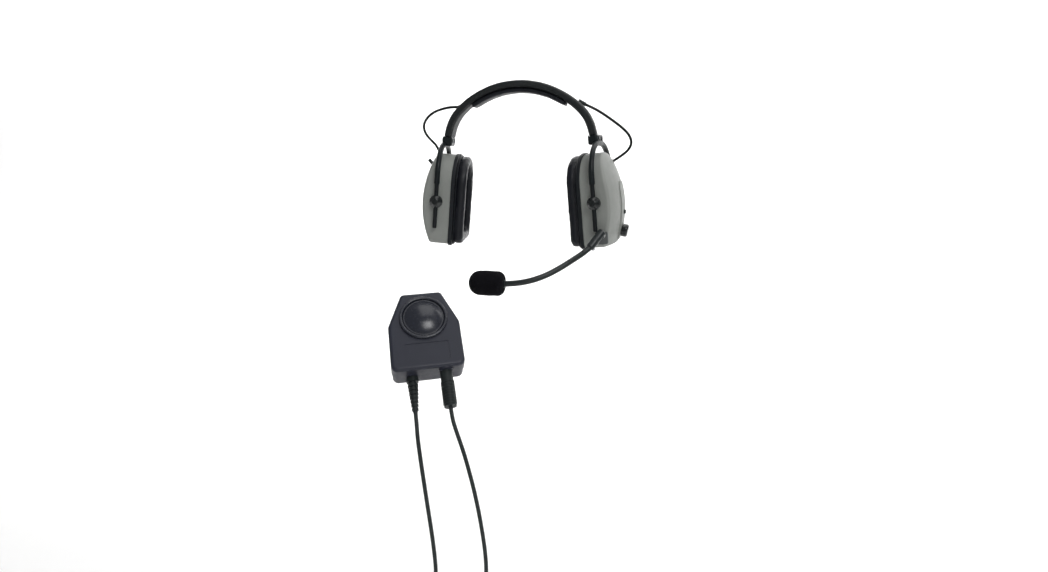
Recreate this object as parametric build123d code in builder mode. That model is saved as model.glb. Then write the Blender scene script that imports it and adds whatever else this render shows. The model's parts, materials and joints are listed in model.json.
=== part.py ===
"""Over-the-head radio headset: sprung headband, two ear cups sliding on wire forks, a boom
microphone, and a clip-on push-to-talk box with its two leads.

Millimetres. +Z is up and the wearer faces -Y, so +X is the wearer's left. The origin is the
middle of the head opening, level with the pivots that the cups tilt on.
"""

from build123d import *
import os
from math import pi, radians, sqrt, tan

os.makedirs("parts", exist_ok=True)

# Where the two sides stand: pivot line from the centre plane, and how the cups are turned.
PIVOT_X = 100.0
TOE_IN = 10.0  # fronts of the cups turn towards each other, degrees
SPLAY = 5.5  # bottoms of the cups lean outwards, degrees
RUN_FIT = 0.05  # radial clearance of a shaft that turns or slides in its hole

# Headband: three runs of the outer curve from the crown down to the fork.
CROWN_Z = 137.0
CROWN_R = 110.0
CROWN_ARC = 42.0
SHOULDER_R = 55.0
SHOULDER_ARC = 32.0
ARM_LENGTH = 13.0
COVER_ARM = 8.0
COVER_THICK = 9.3
COVER_WIDTH = 23.0
SPRING_DEPTH = 4.0
SPRING_THICK = 1.0
SPRING_WIDTH = 15.0
PAD_THICK = 6.0
PAD_WIDTH = 25.0
PAD_ARC = 35.0

# Fork of each side, in the side's own frame: x outwards, y backwards, z up.
FORK_Y = 41.0
FORK_TOP = 66.0
FORK_R = 36.0
FORK_THICK = 6.4
FORK_END = 21.0
ROD_D = 5.0
ROD_TOP = 31.0
ROD_END = -31.5
BLOCK_IN = -10.0
BLOCK_OUT = 1.8
BLOCK_Z = 70.3
BLOCK_TALL = 11.6
RIVET_Z = 71.3
RIVET_Y = 5.5
KNOB_D = 15.0
KNOB_FRONT = 46.5
KNOB_BACK = 37.9
PIN_D = 5.0
PIN_END = 31.0

# Ear cup, in the side's own frame.
CUP_HALF = 36.0
CUP_TOP = 55.5
CUP_BOTTOM = -51.0
CUP_CORNER = 6.5
CUP_IN = -16.0
CUP_OUT = 22.0
DOME_R = 117.0
EDGE_RADIUS = 4.0
DOME_Z = -3.0
WALL = 2.4
PLATE_THICK = 4.5
PLATE_RIM = 1.3
CUSHION_THICK = 14.0
EAR_INSET = 13.0
SPEAKER_D = 40.0
LINER_THICK = 9.0
ANTENNA_ROOT = (7.0, 2.0, 34.0)
ANTENNA_TIP = (19.5, 2.0, 46.5)

# Controls on the left cup, in the side's own frame.
CONTROL_Y = 9.0
VOLUME_Z = -36.0
VOLUME_D = 15.5
MODE_Z = -15.0
MODE_D = 4.8
MODE_TRAVEL = 1.0
MODE_SWITCH_TALL = 8.5
SHAFT_D = 6.0
BEZEL_THICK = 1.1
BEZEL_SIZE = (32.0, 68.0)
BEZEL_CENTRE = (13.0, -13.0)
VOLUME_TALL = 7.0
POT_DEPTH = 7.0
BOARD_X = 3.0
LEAD_SOCKET_X = 1.0
LEAD_SOCKET_Y = 17.0
LEAD_SOCKET_OUT = 0.8
LEAD_BORE_R = 3.5
LEAD_BORE_DEPTH = 11.0

# Boom, in the headset's frame.
BOOM_END = (104.4, -50.0, -29.7)
BOOM_COLLAR = (91.9, -63.5, -46.3)
SWIVEL_FROM_END = 6.0
SWIVEL_PIN_D = 4.0
SWIVEL_DISC = 7.4
BRACKET_THICK = 1.8
SLEEVE_D = 9.2
GOOSENECK_D = 6.4
GOOSENECK = [
    BOOM_COLLAR, (84.9, -70, -51.8), (77, -78.5, -56.5), (65.9, -89, -63.2),
    (52.4, -98.5, -70.2), (38.8, -105.5, -75), (24.5, -109.5, -78), (9, -111, -79.4),
]
MIC_END_X = 9.0
MIC_LENGTH = 24.0
MIC_D = 9.0
WINDSCREEN_LENGTH = 39.0
WINDSCREEN_D = 26.5

# Push-to-talk box, in its own frame: x across, -y out of the front, z up.
BOX_WIDTH = 72.5
BOX_TOP_WIDTH = 41.5
BOX_HEIGHT = 87.0
BOX_TAPER = 37.0
BOX_WALL = 2.2
FRONT_DEPTH = 17.5
REAR_DEPTH = 14.5
GASKET_THICK = 1.6
BUTTON_Z = 12.6
BUTTON_R = 20.8
BUTTON_TRAVEL = 2.0
BOOT_X = -16.5
BOOT_Y = 2.0
BOOT_LENGTH = 36.5
SOCKET_X = 16.8
SOCKET_Y = -6.5
SOCKET_NECK = 8.0
SOCKET_HUMP_R = 7.4
PLUG_LENGTH = 30.0
PLUG_D = 13.5
PLUG_RIBS = 9
PLUG_NOSE = 6.0
PLUG_NOSE_R = 4.0
BOOT_RIBS = 7
BUTTON_RISE = 5.4
BUTTON_DOME_R = 38.0
STEM_LENGTH = 2.5
RING_R = 24.6
RING_TALL = 2.8
LABEL_Z = -26.0
LABEL_SIZE = (44.5, 20.5)
CLIP_Z = 14.0
CLIP_PIN_D = 3.0
CLIP_STAND = 4.6
EAR_X = 15.5
EAR_THICK = 3.5
TAB_LENGTH = 13.0
JAW_LENGTH = 46.0
SPRING_UP = 9.0

# Cords: the loops between headband and cups, and the two leads of the push-to-talk box.
LOOP_D = 3.2
LEAD_D = 4.0
GROMMET_LENGTH = 9.0
BOOT_NECK = 17.0
HANK_SIZE = (30.0, 16.0, 74.0)
RADIO_PLUG = [(3.6, 8), (5.6, 24), (4.2, 2), (1.75, 14)]
HEADSET_PLUG = [(3.6, 6), (PLUG_D / 2, 26), (3.4, 9.5)]
LEFT_LOOP = [
    (76.5, 6, 109), (85, 9, 105.5), (95.5, 13, 99.5), (106.5, 17, 92), (117.5, 21, 84),
    (126.5, 24, 75.5), (130, 26, 66), (126, 26, 57.5), (118, 24, 51), (109.5, 21.5, 45.5),
]
RIGHT_LOOP = [
    (-76.5, 6, 109.5), (-87, 9, 110), (-99, 12, 108.5), (-111, 15, 105.5), (-122, 18, 99.5),
    (-129.5, 21, 90), (-128.5, 24, 79.5), (-121.5, 27, 71), (-114.5, 29, 63.5), (-111.5, 29.5, 54),
]
RADIO_LEAD = [
    (-50.3, -221.5, -206.5), (-47, -225.5, -223), (-43.6, -228, -246), (-40, -229.3, -275),
    (-36.5, -229.5, -308), (-34.5, -229.5, -339), (-34.5, -229.5, -370),
]
HEADSET_LEAD = [
    (-13.5, -213.8, -202), (-7.3, -217.8, -214.5), (-1.8, -220.5, -230), (5.3, -223.3, -255),
    (11.5, -225, -287), (16, -225.5, -325), (16, -225.5, -370),
]

UPRIGHT = (Align.CENTER, Align.CENTER, Align.MIN)
LEFT_SIDE = Location((PIVOT_X, 0, 0), (0, 0, -TOE_IN)) * Location((0, 0, 0), (0, -SPLAY, 0))
BOX_PLACE = (
    Location((-68.0, -151.5, -130.3))
    * Location((0, 0, 0), (0, 0, 25.0))
    * Location((0, 0, 0), (-45.7, 0, 0))
    * Location((0, 0, 0), (0, -1.8, 0))
)


def write(shape, node):
    """Label one finished piece and write it."""
    shape.label = node
    export_step(shape, f"parts/{node}.step")


def on_left(shape):
    """A piece made in the side's own frame, moved to the wearer's left."""
    return shape.moved(LEFT_SIDE)


def on_right(shape):
    """The same piece, mirrored to the wearer's right."""
    return mirror(on_left(shape), about=Plane.YZ)


def on_box(shape):
    """A piece made in the push-to-talk box's frame, moved to where the box hangs."""
    return shape.moved(BOX_PLACE)


def bend_radii(points):
    """The largest arc that the two runs at each corner of a route allow."""
    spots = [Vector(*p) for p in points]
    radii = []
    for before, corner, after in zip(spots, spots[1:], spots[2:]):
        run = min((corner - before).length, (after - corner).length)
        turn = (corner - before).get_angle(after - corner)
        radii.append(0.45 * run / tan(radians(turn / 2)))
    return radii


def tube(points, diameter):
    """A round tube along straight runs joined by tangent arcs."""
    radii = bend_radii(points)
    with BuildPart() as made:
        with BuildLine() as route:
            FilletPolyline(*points, radius=radii)
        path = route.wires()[0]
        with BuildSketch(Plane(origin=path @ 0, z_dir=path % 0)):
            Circle(diameter / 2)
        sweep(path=path)
    return made.part


def rod_between(start, end, diameter, end_diameter=None):
    """A straight rod, or a cone, from one point to another."""
    along = Vector(*end) - Vector(*start)
    with BuildPart(Plane(origin=start, z_dir=along)) as made:
        Cone(
            diameter / 2, (end_diameter or diameter) / 2 + 1e-4, along.length,
            align=UPRIGHT,
        )
    return made.part


def beyond(point, before, distance):
    """The point that lies distance further on, in line with the run that ends at point."""
    run = Vector(*point) - Vector(*before)
    return tuple(Vector(*point) + run.normalized() * distance)


# --- Headband -----------------------------------------------------------------------------

def band_edge(inset, arm_length):
    """Half of the headband's side view, from the crown to the end of the arm."""
    crown = JernArc((0, CROWN_Z - inset), (1, 0), CROWN_R - inset, -CROWN_ARC)
    shoulder = JernArc(crown @ 1, crown % 1, SHOULDER_R - inset, -SHOULDER_ARC)
    arm = Line(shoulder @ 1, (shoulder @ 1) + (shoulder % 1) * arm_length)
    return arm @ 1


def band_strip(outer, inner, width, arm_length):
    """A strip bent to the headband's curve, between two insets from its outer face."""
    with BuildPart() as strip:
        with BuildSketch(Plane.XZ):
            with BuildLine():
                outer_end = band_edge(outer, arm_length)
                inner_end = band_edge(inner, arm_length)
                Line(outer_end, inner_end)
                mirror(about=Plane.YZ)
            make_face()
        extrude(amount=width / 2, both=True)
    return strip.part


with BuildPart(Plane.YZ.offset(BLOCK_IN - 0.9)) as rivet_pair:
    with Locations((-RIVET_Y, RIVET_Z), (RIVET_Y, RIVET_Z)):
        Cylinder(1.5, BLOCK_OUT - BLOCK_IN + 1.8, align=UPRIGHT)
    with Locations(
        (-RIVET_Y, RIVET_Z, 0), (RIVET_Y, RIVET_Z, 0),
        (-RIVET_Y, RIVET_Z, BLOCK_OUT - BLOCK_IN + 0.9), (RIVET_Y, RIVET_Z, BLOCK_OUT - BLOCK_IN + 0.9),
    ):
        Cylinder(2.6, 0.9, align=UPRIGHT)

with BuildPart() as yoke_rivets:
    add(on_left(rivet_pair.part))
    add(on_right(rivet_pair.part))

with BuildPart() as band_spring:
    add(band_strip(SPRING_DEPTH, SPRING_DEPTH + SPRING_THICK, SPRING_WIDTH, ARM_LENGTH))
    add(yoke_rivets.part, mode=Mode.SUBTRACT)

with BuildPart() as band_cover:
    add(band_strip(0, COVER_THICK, COVER_WIDTH, COVER_ARM))
    long_edges = band_cover.edges().filter_by(
        lambda e: abs(abs(e.center().Y) - COVER_WIDTH / 2) < 0.01 and e.length > COVER_THICK + 1
    )
    fillet(long_edges, 2.2)
    add(band_strip(SPRING_DEPTH, SPRING_DEPTH + SPRING_THICK, SPRING_WIDTH, ARM_LENGTH), mode=Mode.SUBTRACT)
    add(yoke_rivets.part, mode=Mode.SUBTRACT)

with BuildPart() as headband_pad:
    with BuildSketch(Plane.XZ):
        centre = (0, CROWN_Z - CROWN_R)
        with BuildLine():
            top = CenterArc(centre, CROWN_R - COVER_THICK, 90 - PAD_ARC, 2 * PAD_ARC)
            under = CenterArc(centre, CROWN_R - COVER_THICK - PAD_THICK, 91 - PAD_ARC, 2 * PAD_ARC - 2)
            Line(top @ 0, under @ 0)
            Line(top @ 1, under @ 1)
        make_face()
    extrude(amount=PAD_WIDTH / 2, both=True)
    fillet(headband_pad.faces().sort_by(Axis.Z)[0].edges(), 2.5)

with BuildPart() as fork_block:
    with Locations(((BLOCK_IN + BLOCK_OUT) / 2, 0, BLOCK_Z)):
        Box(BLOCK_OUT - BLOCK_IN, COVER_WIDTH + 4, BLOCK_TALL)
    fillet(fork_block.edges(), 2.8)

with BuildPart() as fork:
    with BuildLine(Plane.YZ) as arch:
        Line((-FORK_Y, FORK_END), (-FORK_Y, FORK_TOP - FORK_R))
        RadiusArc((-FORK_Y, FORK_TOP - FORK_R), (FORK_R - FORK_Y, FORK_TOP), FORK_R)
        Line((FORK_R - FORK_Y, FORK_TOP), (FORK_Y - FORK_R, FORK_TOP))
        RadiusArc((FORK_Y - FORK_R, FORK_TOP), (FORK_Y, FORK_TOP - FORK_R), FORK_R)
        Line((FORK_Y, FORK_TOP - FORK_R), (FORK_Y, FORK_END))
    with BuildSketch(Plane.XY.offset(FORK_END)):
        with Locations((0, -FORK_Y)):
            Circle(FORK_THICK / 2)
    sweep(path=arch.wires()[0])
    add(fork_block.part)
    with Locations((0, -FORK_Y, FORK_END), (0, FORK_Y, FORK_END)):
        Cylinder(ROD_D / 2, ROD_TOP - FORK_END, align=UPRIGHT, mode=Mode.SUBTRACT)

with BuildPart() as left_yoke:
    add(on_left(fork.part))
    add(band_cover.part, mode=Mode.SUBTRACT)
    add(band_spring.part, mode=Mode.SUBTRACT)
    add(yoke_rivets.part, mode=Mode.SUBTRACT)

with BuildPart() as rod_pair:
    with Locations((0, -FORK_Y, ROD_END), (0, FORK_Y, ROD_END)):
        Cylinder(ROD_D / 2, ROD_TOP - ROD_END, align=UPRIGHT)
    chamfer(rod_pair.edges().group_by(Axis.Z)[0], 0.6)

with BuildPart() as cable_grommets:
    for route in (LEFT_LOOP, RIGHT_LOOP):
        add(rod_between(beyond(route[0], route[1], GROMMET_LENGTH), route[0], 6.4, 4.6))
    add(band_cover.part, mode=Mode.SUBTRACT)
    add(band_spring.part, mode=Mode.SUBTRACT)

write(band_spring.part, "band_spring")
write(band_cover.part, "band_cover")
write(headband_pad.part, "headband_pad")
write(left_yoke.part, "left_yoke")
write(mirror(left_yoke.part, about=Plane.YZ), "right_yoke")
write(on_left(rod_pair.part), "left_rods")
write(on_right(rod_pair.part), "right_rods")
write(yoke_rivets.part, "yoke_rivets")
write(cable_grommets.part, "cable_grommets")
write(tube(LEFT_LOOP, LOOP_D), "left_loop_cable")
write(tube(RIGHT_LOOP, LOOP_D), "right_loop_cable")


# --- Pivot knobs, which slide on the rods -----------------------------------------------------

with BuildPart() as front_knob:
    with BuildSketch(Plane.YZ):
        with BuildLine():
            Polyline(
                (-KNOB_BACK, 0), (-KNOB_BACK, KNOB_D / 2), (-KNOB_FRONT + 4, KNOB_D / 2),
                (-KNOB_FRONT, 3.5), (-KNOB_FRONT, 0), close=True,
            )
        make_face()
    revolve(axis=Axis.Y)
    fillet(front_knob.edges().filter_by(GeomType.CIRCLE).sort_by(Axis.Y)[0:2], 1.6)
    with BuildSketch(Plane.XZ.offset(PIN_END)):
        Circle(PIN_D / 2)
    extrude(amount=KNOB_BACK - PIN_END)
    with Locations((0, -FORK_Y, -KNOB_D)):
        Cylinder(ROD_D / 2 + RUN_FIT, 2 * KNOB_D, align=UPRIGHT, mode=Mode.SUBTRACT)

with BuildPart() as knob_pair:
    add(front_knob.part)
    mirror(front_knob.part, about=Plane.XZ)

write(on_left(knob_pair.part), "left_pivot_knobs")
write(on_right(knob_pair.part), "right_pivot_knobs")


# --- Ear cups ---------------------------------------------------------------------------------

def cup_outline(inset):
    """The cup's D-shaped outline: round on top, straight sides and a flat bottom."""
    half = CUP_HALF - inset
    round_z = CUP_TOP - CUP_HALF
    with BuildSketch() as outline:
        with BuildLine():
            over = CenterArc((0, round_z), half, 0, 180)
            Polyline(over @ 1, (-half, CUP_BOTTOM + inset), (half, CUP_BOTTOM + inset), over @ 0)
        make_face()
        fillet(outline.vertices().group_by(Axis.Y)[0], max(CUP_CORNER - max(inset, 0) * 0.6, 1.0))
    return outline.sketch


def cup_body(inset, inner_x, edge_radius):
    """The cup's domed form, shrunk all round by inset, from inner_x out to the dome."""
    with BuildPart() as body:
        with BuildSketch(Plane.YZ.offset(inner_x)):
            add(cup_outline(inset))
        extrude(amount=CUP_OUT + 5 - inner_x)
        with Locations((CUP_OUT - DOME_R, 0, DOME_Z)):
            Sphere(DOME_R - inset, mode=Mode.INTERSECT)
        dome = body.faces().filter_by(GeomType.SPHERE).sort_by(Axis.X)[-1]
        fillet(dome.edges(), edge_radius)
    return body.part


def dome_x(y, z):
    """How far out the dome stands at a point of the side's y-z plane."""
    return CUP_OUT - DOME_R + sqrt(DOME_R**2 - y**2 - (z - DOME_Z) ** 2)


def on_dome(outline_size, centre, thick, corner):
    """A rounded plate lying on the dome."""
    with BuildPart() as plate:
        with BuildSketch(Plane.YZ.offset(CUP_OUT - 15)):
            with Locations(centre):
                RectangleRounded(*outline_size, corner)
        extrude(amount=30)
        with Locations((CUP_OUT - DOME_R, 0, DOME_Z)):
            Sphere(DOME_R + thick, mode=Mode.INTERSECT)
            Sphere(DOME_R, mode=Mode.SUBTRACT)
    return plate.part


with BuildPart() as pin_holes:
    with Locations((0, 0, 0)):
        Cylinder(PIN_D / 2 + RUN_FIT, 2 * FORK_Y, rotation=(90, 0, 0))

with BuildPart() as cup_shell:
    add(cup_body(0, CUP_IN, EDGE_RADIUS))
    with BuildSketch(Plane.XZ.offset(-KNOB_BACK + 0.35)):
        Circle(7.0)
    extrude(amount=2 * (KNOB_BACK - 0.35))
    add(cup_body(WALL, CUP_IN - 1, EDGE_RADIUS - 1.6), mode=Mode.SUBTRACT)
    add(pin_holes.part, mode=Mode.SUBTRACT)

with BuildPart() as cup_solid:
    add(cup_body(0, CUP_IN, EDGE_RADIUS))

SCREW_SPOTS = [(-27, 26), (27, 26), (-28, -40), (28, -40)]

with BuildPart() as base_plate:
    with BuildSketch(Plane.YZ.offset(CUP_IN)):
        add(cup_outline(-PLATE_RIM))
    extrude(amount=-PLATE_THICK)
    chamfer(base_plate.faces().sort_by(Axis.X)[0].edges(), 0.8)
    with BuildSketch(Plane.YZ.offset(CUP_IN)):
        add(cup_outline(EAR_INSET))
    extrude(amount=-PLATE_THICK, mode=Mode.SUBTRACT)
    with Locations(*[(CUP_IN - PLATE_THICK / 2, y, z) for y, z in SCREW_SPOTS]):
        Cylinder(1.6, PLATE_THICK, rotation=(0, 90, 0), mode=Mode.SUBTRACT)

with BuildPart(Plane.YZ.offset(CUP_IN - PLATE_THICK)) as plate_screws:
    with Locations(*SCREW_SPOTS):
        Cylinder(1.6, PLATE_THICK - 0.2, align=UPRIGHT)

with BuildPart() as cushion:
    with BuildSketch(Plane.YZ.offset(CUP_IN - PLATE_THICK)):
        add(cup_outline(0))
    extrude(amount=-CUSHION_THICK)
    with BuildSketch(Plane.YZ.offset(CUP_IN - PLATE_THICK)):
        add(cup_outline(EAR_INSET))
    extrude(amount=-CUSHION_THICK, mode=Mode.SUBTRACT)
    fillet(cushion.faces().sort_by(Axis.X)[0].edges(), 5.0)

with BuildPart() as foam_liner:
    with BuildSketch(Plane.YZ.offset(CUP_IN + 2)):
        add(cup_outline(WALL + 0.6))
        with Locations((0, 2)):
            Circle(SPEAKER_D / 2, mode=Mode.SUBTRACT)
    extrude(amount=LINER_THICK)

with BuildPart(Plane.YZ.offset(CUP_IN + 4)) as speaker:
    with Locations((0, 2)):
        Cylinder(SPEAKER_D / 2, 2.5, align=UPRIGHT)
        Cylinder(SPEAKER_D / 2 - 5, 7.0, align=UPRIGHT)
        Cylinder(SPEAKER_D / 2 - 4, 1.2, align=UPRIGHT, mode=Mode.SUBTRACT)
        Cone(SPEAKER_D / 2 - 8, 2, 1.2, align=UPRIGHT)

for side, place in (("left", on_left), ("right", on_right)):
    write(place(base_plate.part), f"{side}_base_plate")
    write(place(plate_screws.part), f"{side}_plate_screws")
    write(place(cushion.part), f"{side}_cushion")
    write(place(foam_liner.part), f"{side}_foam_liner")
    write(place(speaker.part), f"{side}_speaker")


def cable_boot(route, body):
    """The tapered relief that a loop cable goes through, and its neck through the shell wall."""
    end, before = route[-1], route[-2]
    with BuildPart() as boot:
        add(rod_between(end, beyond(end, before, 14), 4.2, 7.4))
        add(body, mode=Mode.SUBTRACT)
        add(rod_between(end, beyond(end, before, BOOT_NECK), 4.2))
    return boot.part.solids().sort_by(SortBy.VOLUME)[-1]


def neck_hole(route):
    """The hole that a cable boot's neck fills."""
    return rod_between(route[-1], beyond(route[-1], route[-2], BOOT_NECK), 4.2)


left_cable_boot = cable_boot(LEFT_LOOP, on_left(cup_solid.part))
right_cable_boot = cable_boot(RIGHT_LOOP, on_right(cup_solid.part))
write(left_cable_boot, "left_cable_boot")
write(right_cable_boot, "right_cable_boot")

with BuildPart() as antenna:
    add(rod_between(ANTENNA_ROOT, ANTENNA_TIP, 4.2))
    fillet(antenna.edges().filter_by(GeomType.CIRCLE).sort_by(Axis.X)[-1], 1.2)

with BuildPart() as right_cup_shell:
    add(on_right(cup_shell.part))
    add(neck_hole(RIGHT_LOOP), mode=Mode.SUBTRACT)
    add(on_right(antenna.part), mode=Mode.SUBTRACT)

write(on_right(antenna.part), "antenna_stub")
write(right_cup_shell.part, "right_cup_shell")


# --- Left cup: controls, lead socket and boom bracket -----------------------------------------

def dome_plane(y, z):
    """A plane on the dome, facing straight out of it."""
    spot = Vector(dome_x(y, z), y, z)
    return Plane(origin=spot, z_dir=spot - Vector(CUP_OUT - DOME_R, 0, DOME_Z))


VOLUME_PLANE = dome_plane(CONTROL_Y, VOLUME_Z)
MODE_PLANE = dome_plane(CONTROL_Y, MODE_Z)

with BuildPart(VOLUME_PLANE) as shaft_hole:
    Cylinder(SHAFT_D / 2 + 0.3, 12)

with BuildPart(MODE_PLANE) as mode_hole:
    Cylinder(MODE_D / 2 + 0.3, 12)

with BuildPart() as control_bezel:
    add(on_dome(BEZEL_SIZE, BEZEL_CENTRE, BEZEL_THICK, 11))
    add(shaft_hole.part, mode=Mode.SUBTRACT)
    add(mode_hole.part, mode=Mode.SUBTRACT)

with BuildPart(VOLUME_PLANE.offset(-WALL - 1 - POT_DEPTH)) as volume_potentiometer:
    Cylinder(6, POT_DEPTH, align=UPRIGHT)
    with Locations((0, 0, 2)):
        Cylinder(SHAFT_D / 2 + RUN_FIT, POT_DEPTH, align=UPRIGHT, mode=Mode.SUBTRACT)

with BuildPart(VOLUME_PLANE.offset(BEZEL_THICK + 0.6)) as volume_knob:
    Cylinder(VOLUME_D / 2, VOLUME_TALL, align=UPRIGHT)
    fillet(volume_knob.edges().filter_by(GeomType.CIRCLE).sort_by(Axis.X)[-1], 2.8)
    with Locations((0, 0, -BEZEL_THICK - 0.6 - WALL - POT_DEPTH + 2)):
        Cylinder(SHAFT_D / 2, POT_DEPTH + WALL + 2, align=UPRIGHT)

with BuildPart(MODE_PLANE.offset(-WALL - 2.2)) as mode_button:
    Cylinder(MODE_D / 2 + 0.9, 1.4, align=UPRIGHT)
    Cylinder(MODE_D / 2, WALL + 2.2 + BEZEL_THICK + 2.2, align=UPRIGHT)
    fillet(mode_button.edges().filter_by(GeomType.CIRCLE).sort_by(Axis.X)[-1], 0.8)

with BuildPart() as circuit_board:
    with Locations((BOARD_X, 0, -19)):
        Box(1.6, 46, 52, align=(Align.MIN, Align.CENTER, Align.CENTER))
    with Locations((BOARD_X + 1.6, CONTROL_Y, MODE_Z)):
        Box(MODE_SWITCH_TALL, 6, 6, align=(Align.MIN, Align.CENTER, Align.CENTER))
    with Locations((BOARD_X + 1.6, -11, -8), (BOARD_X + 1.6, -11, -26), (BOARD_X + 1.6, -4, 2)):
        Box(2.4, 9, 9, align=(Align.MIN, Align.CENTER, Align.CENTER))
    with Locations((LEAD_SOCKET_X, LEAD_SOCKET_Y, CUP_BOTTOM)):
        Cylinder(6.4, 26, mode=Mode.SUBTRACT)

with BuildPart(Plane.XY.offset(CUP_BOTTOM - LEAD_SOCKET_OUT)) as lead_socket:
    with Locations((LEAD_SOCKET_X, LEAD_SOCKET_Y)):
        Cylinder(5.6, LEAD_SOCKET_OUT + WALL + 9, align=UPRIGHT)
        Cylinder(LEAD_BORE_R, LEAD_BORE_DEPTH, align=UPRIGHT, mode=Mode.SUBTRACT)
    chamfer(lead_socket.edges().group_by(Axis.Z)[0], 0.5)

with BuildPart() as socket_hole:
    with Locations((LEAD_SOCKET_X, LEAD_SOCKET_Y, CUP_BOTTOM)):
        Cylinder(5.6, 26)

boom_run = Vector(*BOOM_COLLAR) - Vector(*BOOM_END)
SWIVEL = Vector(*BOOM_END) + boom_run.normalized() * SWIVEL_FROM_END
swivel_x, swivel_y, swivel_z = (LEFT_SIDE.inverse() * Location(SWIVEL)).position

with BuildPart() as boom_bracket:
    with BuildSketch(Plane.XZ.offset(CUP_HALF)):
        with Locations((5.6, -39.5)):
            RectangleRounded(14.5, 14, 2)
    extrude(amount=BRACKET_THICK)
    with BuildSketch(Plane.XZ.offset(CUP_HALF + BRACKET_THICK)):
        with Locations((swivel_x, swivel_z)):
            Circle(3.2)
    extrude(amount=-swivel_y - SWIVEL_DISC - 0.2 - CUP_HALF - BRACKET_THICK)
    with BuildSketch(Plane.XZ.offset(-swivel_y - SWIVEL_DISC - 0.2)):
        with Locations((swivel_x, swivel_z)):
            Circle(SWIVEL_PIN_D / 2)
    extrude(amount=SWIVEL_DISC + 1.0)
    add(cup_solid.part, mode=Mode.SUBTRACT)

with BuildPart() as left_cup_shell:
    add(on_left(cup_shell.part))
    for cut in (shaft_hole, mode_hole, socket_hole):
        add(on_left(cut.part), mode=Mode.SUBTRACT)
    add(neck_hole(LEFT_LOOP), mode=Mode.SUBTRACT)

write(left_cup_shell.part, "left_cup_shell")
write(on_left(control_bezel.part), "control_bezel")
write(on_left(volume_potentiometer.part), "volume_potentiometer")
write(on_left(volume_knob.part), "volume_knob")
write(on_left(mode_button.part), "mode_button")
write(on_left(circuit_board.part), "circuit_board")
write(on_left(lead_socket.part), "lead_socket")
write(on_left(boom_bracket.part), "boom_bracket")


# --- Boom and microphone ----------------------------------------------------------------------

with BuildPart() as swivel_disc:
    with BuildSketch(Plane.XZ.offset(-swivel_y - SWIVEL_DISC)):
        with Locations((swivel_x, swivel_z)):
            Circle(5.2)
    extrude(amount=SWIVEL_DISC)

with BuildPart() as swivel_bore:
    with BuildSketch(Plane.XZ.offset(-swivel_y - SWIVEL_DISC)):
        with Locations((swivel_x, swivel_z)):
            Circle(SWIVEL_PIN_D / 2 + RUN_FIT)
    extrude(amount=SWIVEL_DISC + 1.3)

with BuildPart() as boom_sleeve:
    add(rod_between(BOOM_END, BOOM_COLLAR, SLEEVE_D))
    chamfer(boom_sleeve.edges().filter_by(GeomType.CIRCLE), 0.8)
    add(on_left(swivel_disc.part))
    add(on_left(swivel_bore.part), mode=Mode.SUBTRACT)

down = Vector(0, 0, -1)
boom_way = boom_run.normalized()
screw_way = (down - boom_way * down.dot(boom_way)).normalized()
screw_seat = Vector(*BOOM_COLLAR) - boom_way * 3.2 + screw_way * (SLEEVE_D / 2 - 1.2)

with BuildPart(Plane(origin=screw_seat, z_dir=screw_way)) as boom_screw:
    Cylinder(2.2, 3.0, align=UPRIGHT)
    fillet(boom_screw.edges().filter_by(GeomType.CIRCLE).sort_by(Axis.Z)[0], 0.8)

gooseneck = tube(GOOSENECK, GOOSENECK_D)

with BuildPart() as bored_sleeve:
    add(boom_sleeve.part)
    add(boom_screw.part, mode=Mode.SUBTRACT)
    add(gooseneck, mode=Mode.SUBTRACT)

mic_plane = Plane(origin=GOOSENECK[-1], z_dir=(-1, 0, 0))

with BuildPart(mic_plane) as mic_housing:
    Cylinder(MIC_D / 2, MIC_LENGTH, align=UPRIGHT)
    with Locations((0, 0, MIC_LENGTH - 5)):
        Cylinder(3.2, 5, align=UPRIGHT, mode=Mode.SUBTRACT)

with BuildPart() as bored_housing:
    add(mic_housing.part)
    add(gooseneck, mode=Mode.SUBTRACT)

with BuildPart(mic_plane) as mic_capsule:
    with Locations((0, 0, MIC_LENGTH - 5)):
        Cylinder(3.2, 4, align=UPRIGHT)

with BuildPart(mic_plane.offset(1)) as windscreen:
    Cylinder(WINDSCREEN_D / 2, WINDSCREEN_LENGTH, align=UPRIGHT)
    fillet(windscreen.edges().filter_by(GeomType.CIRCLE).sort_by(Axis.X)[0], 11)
    fillet(windscreen.edges().filter_by(GeomType.CIRCLE).sort_by(Axis.X)[-1], 6)
    Cylinder(MIC_D / 2, MIC_LENGTH - 1, align=UPRIGHT, mode=Mode.SUBTRACT)

write(bored_sleeve.part, "boom_sleeve")
write(boom_screw.part, "boom_screw")
write(gooseneck, "boom_gooseneck")
write(bored_housing.part, "mic_housing")
write(mic_capsule.part, "mic_capsule")
write(windscreen.part, "windscreen")


# --- Push-to-talk box -------------------------------------------------------------------------

def box_outline(inset):
    """The box's outline: straight sides that draw in towards a narrower top."""
    half, top, tall = BOX_WIDTH / 2 - inset, BOX_TOP_WIDTH / 2 - inset / 2, BOX_HEIGHT / 2 - inset
    with BuildSketch() as outline:
        with BuildLine():
            Polyline(
                (-half, -tall), (half, -tall), (half, BOX_HEIGHT / 2 - BOX_TAPER), (top, tall),
                (-top, tall), (-half, BOX_HEIGHT / 2 - BOX_TAPER), close=True,
            )
        make_face()
        rows = outline.vertices().group_by(Axis.Y)
        fillet(rows[0], 7 - inset)
        rows = outline.vertices().group_by(Axis.Y)
        fillet(rows[-2], 14)
        fillet(outline.vertices().group_by(Axis.Y)[-1], 5 - inset)
    return outline.sketch


def front_plane(depth):
    """The plane this far in front of the middle of the box's gasket."""
    return Plane.XZ.offset(depth)


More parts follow.
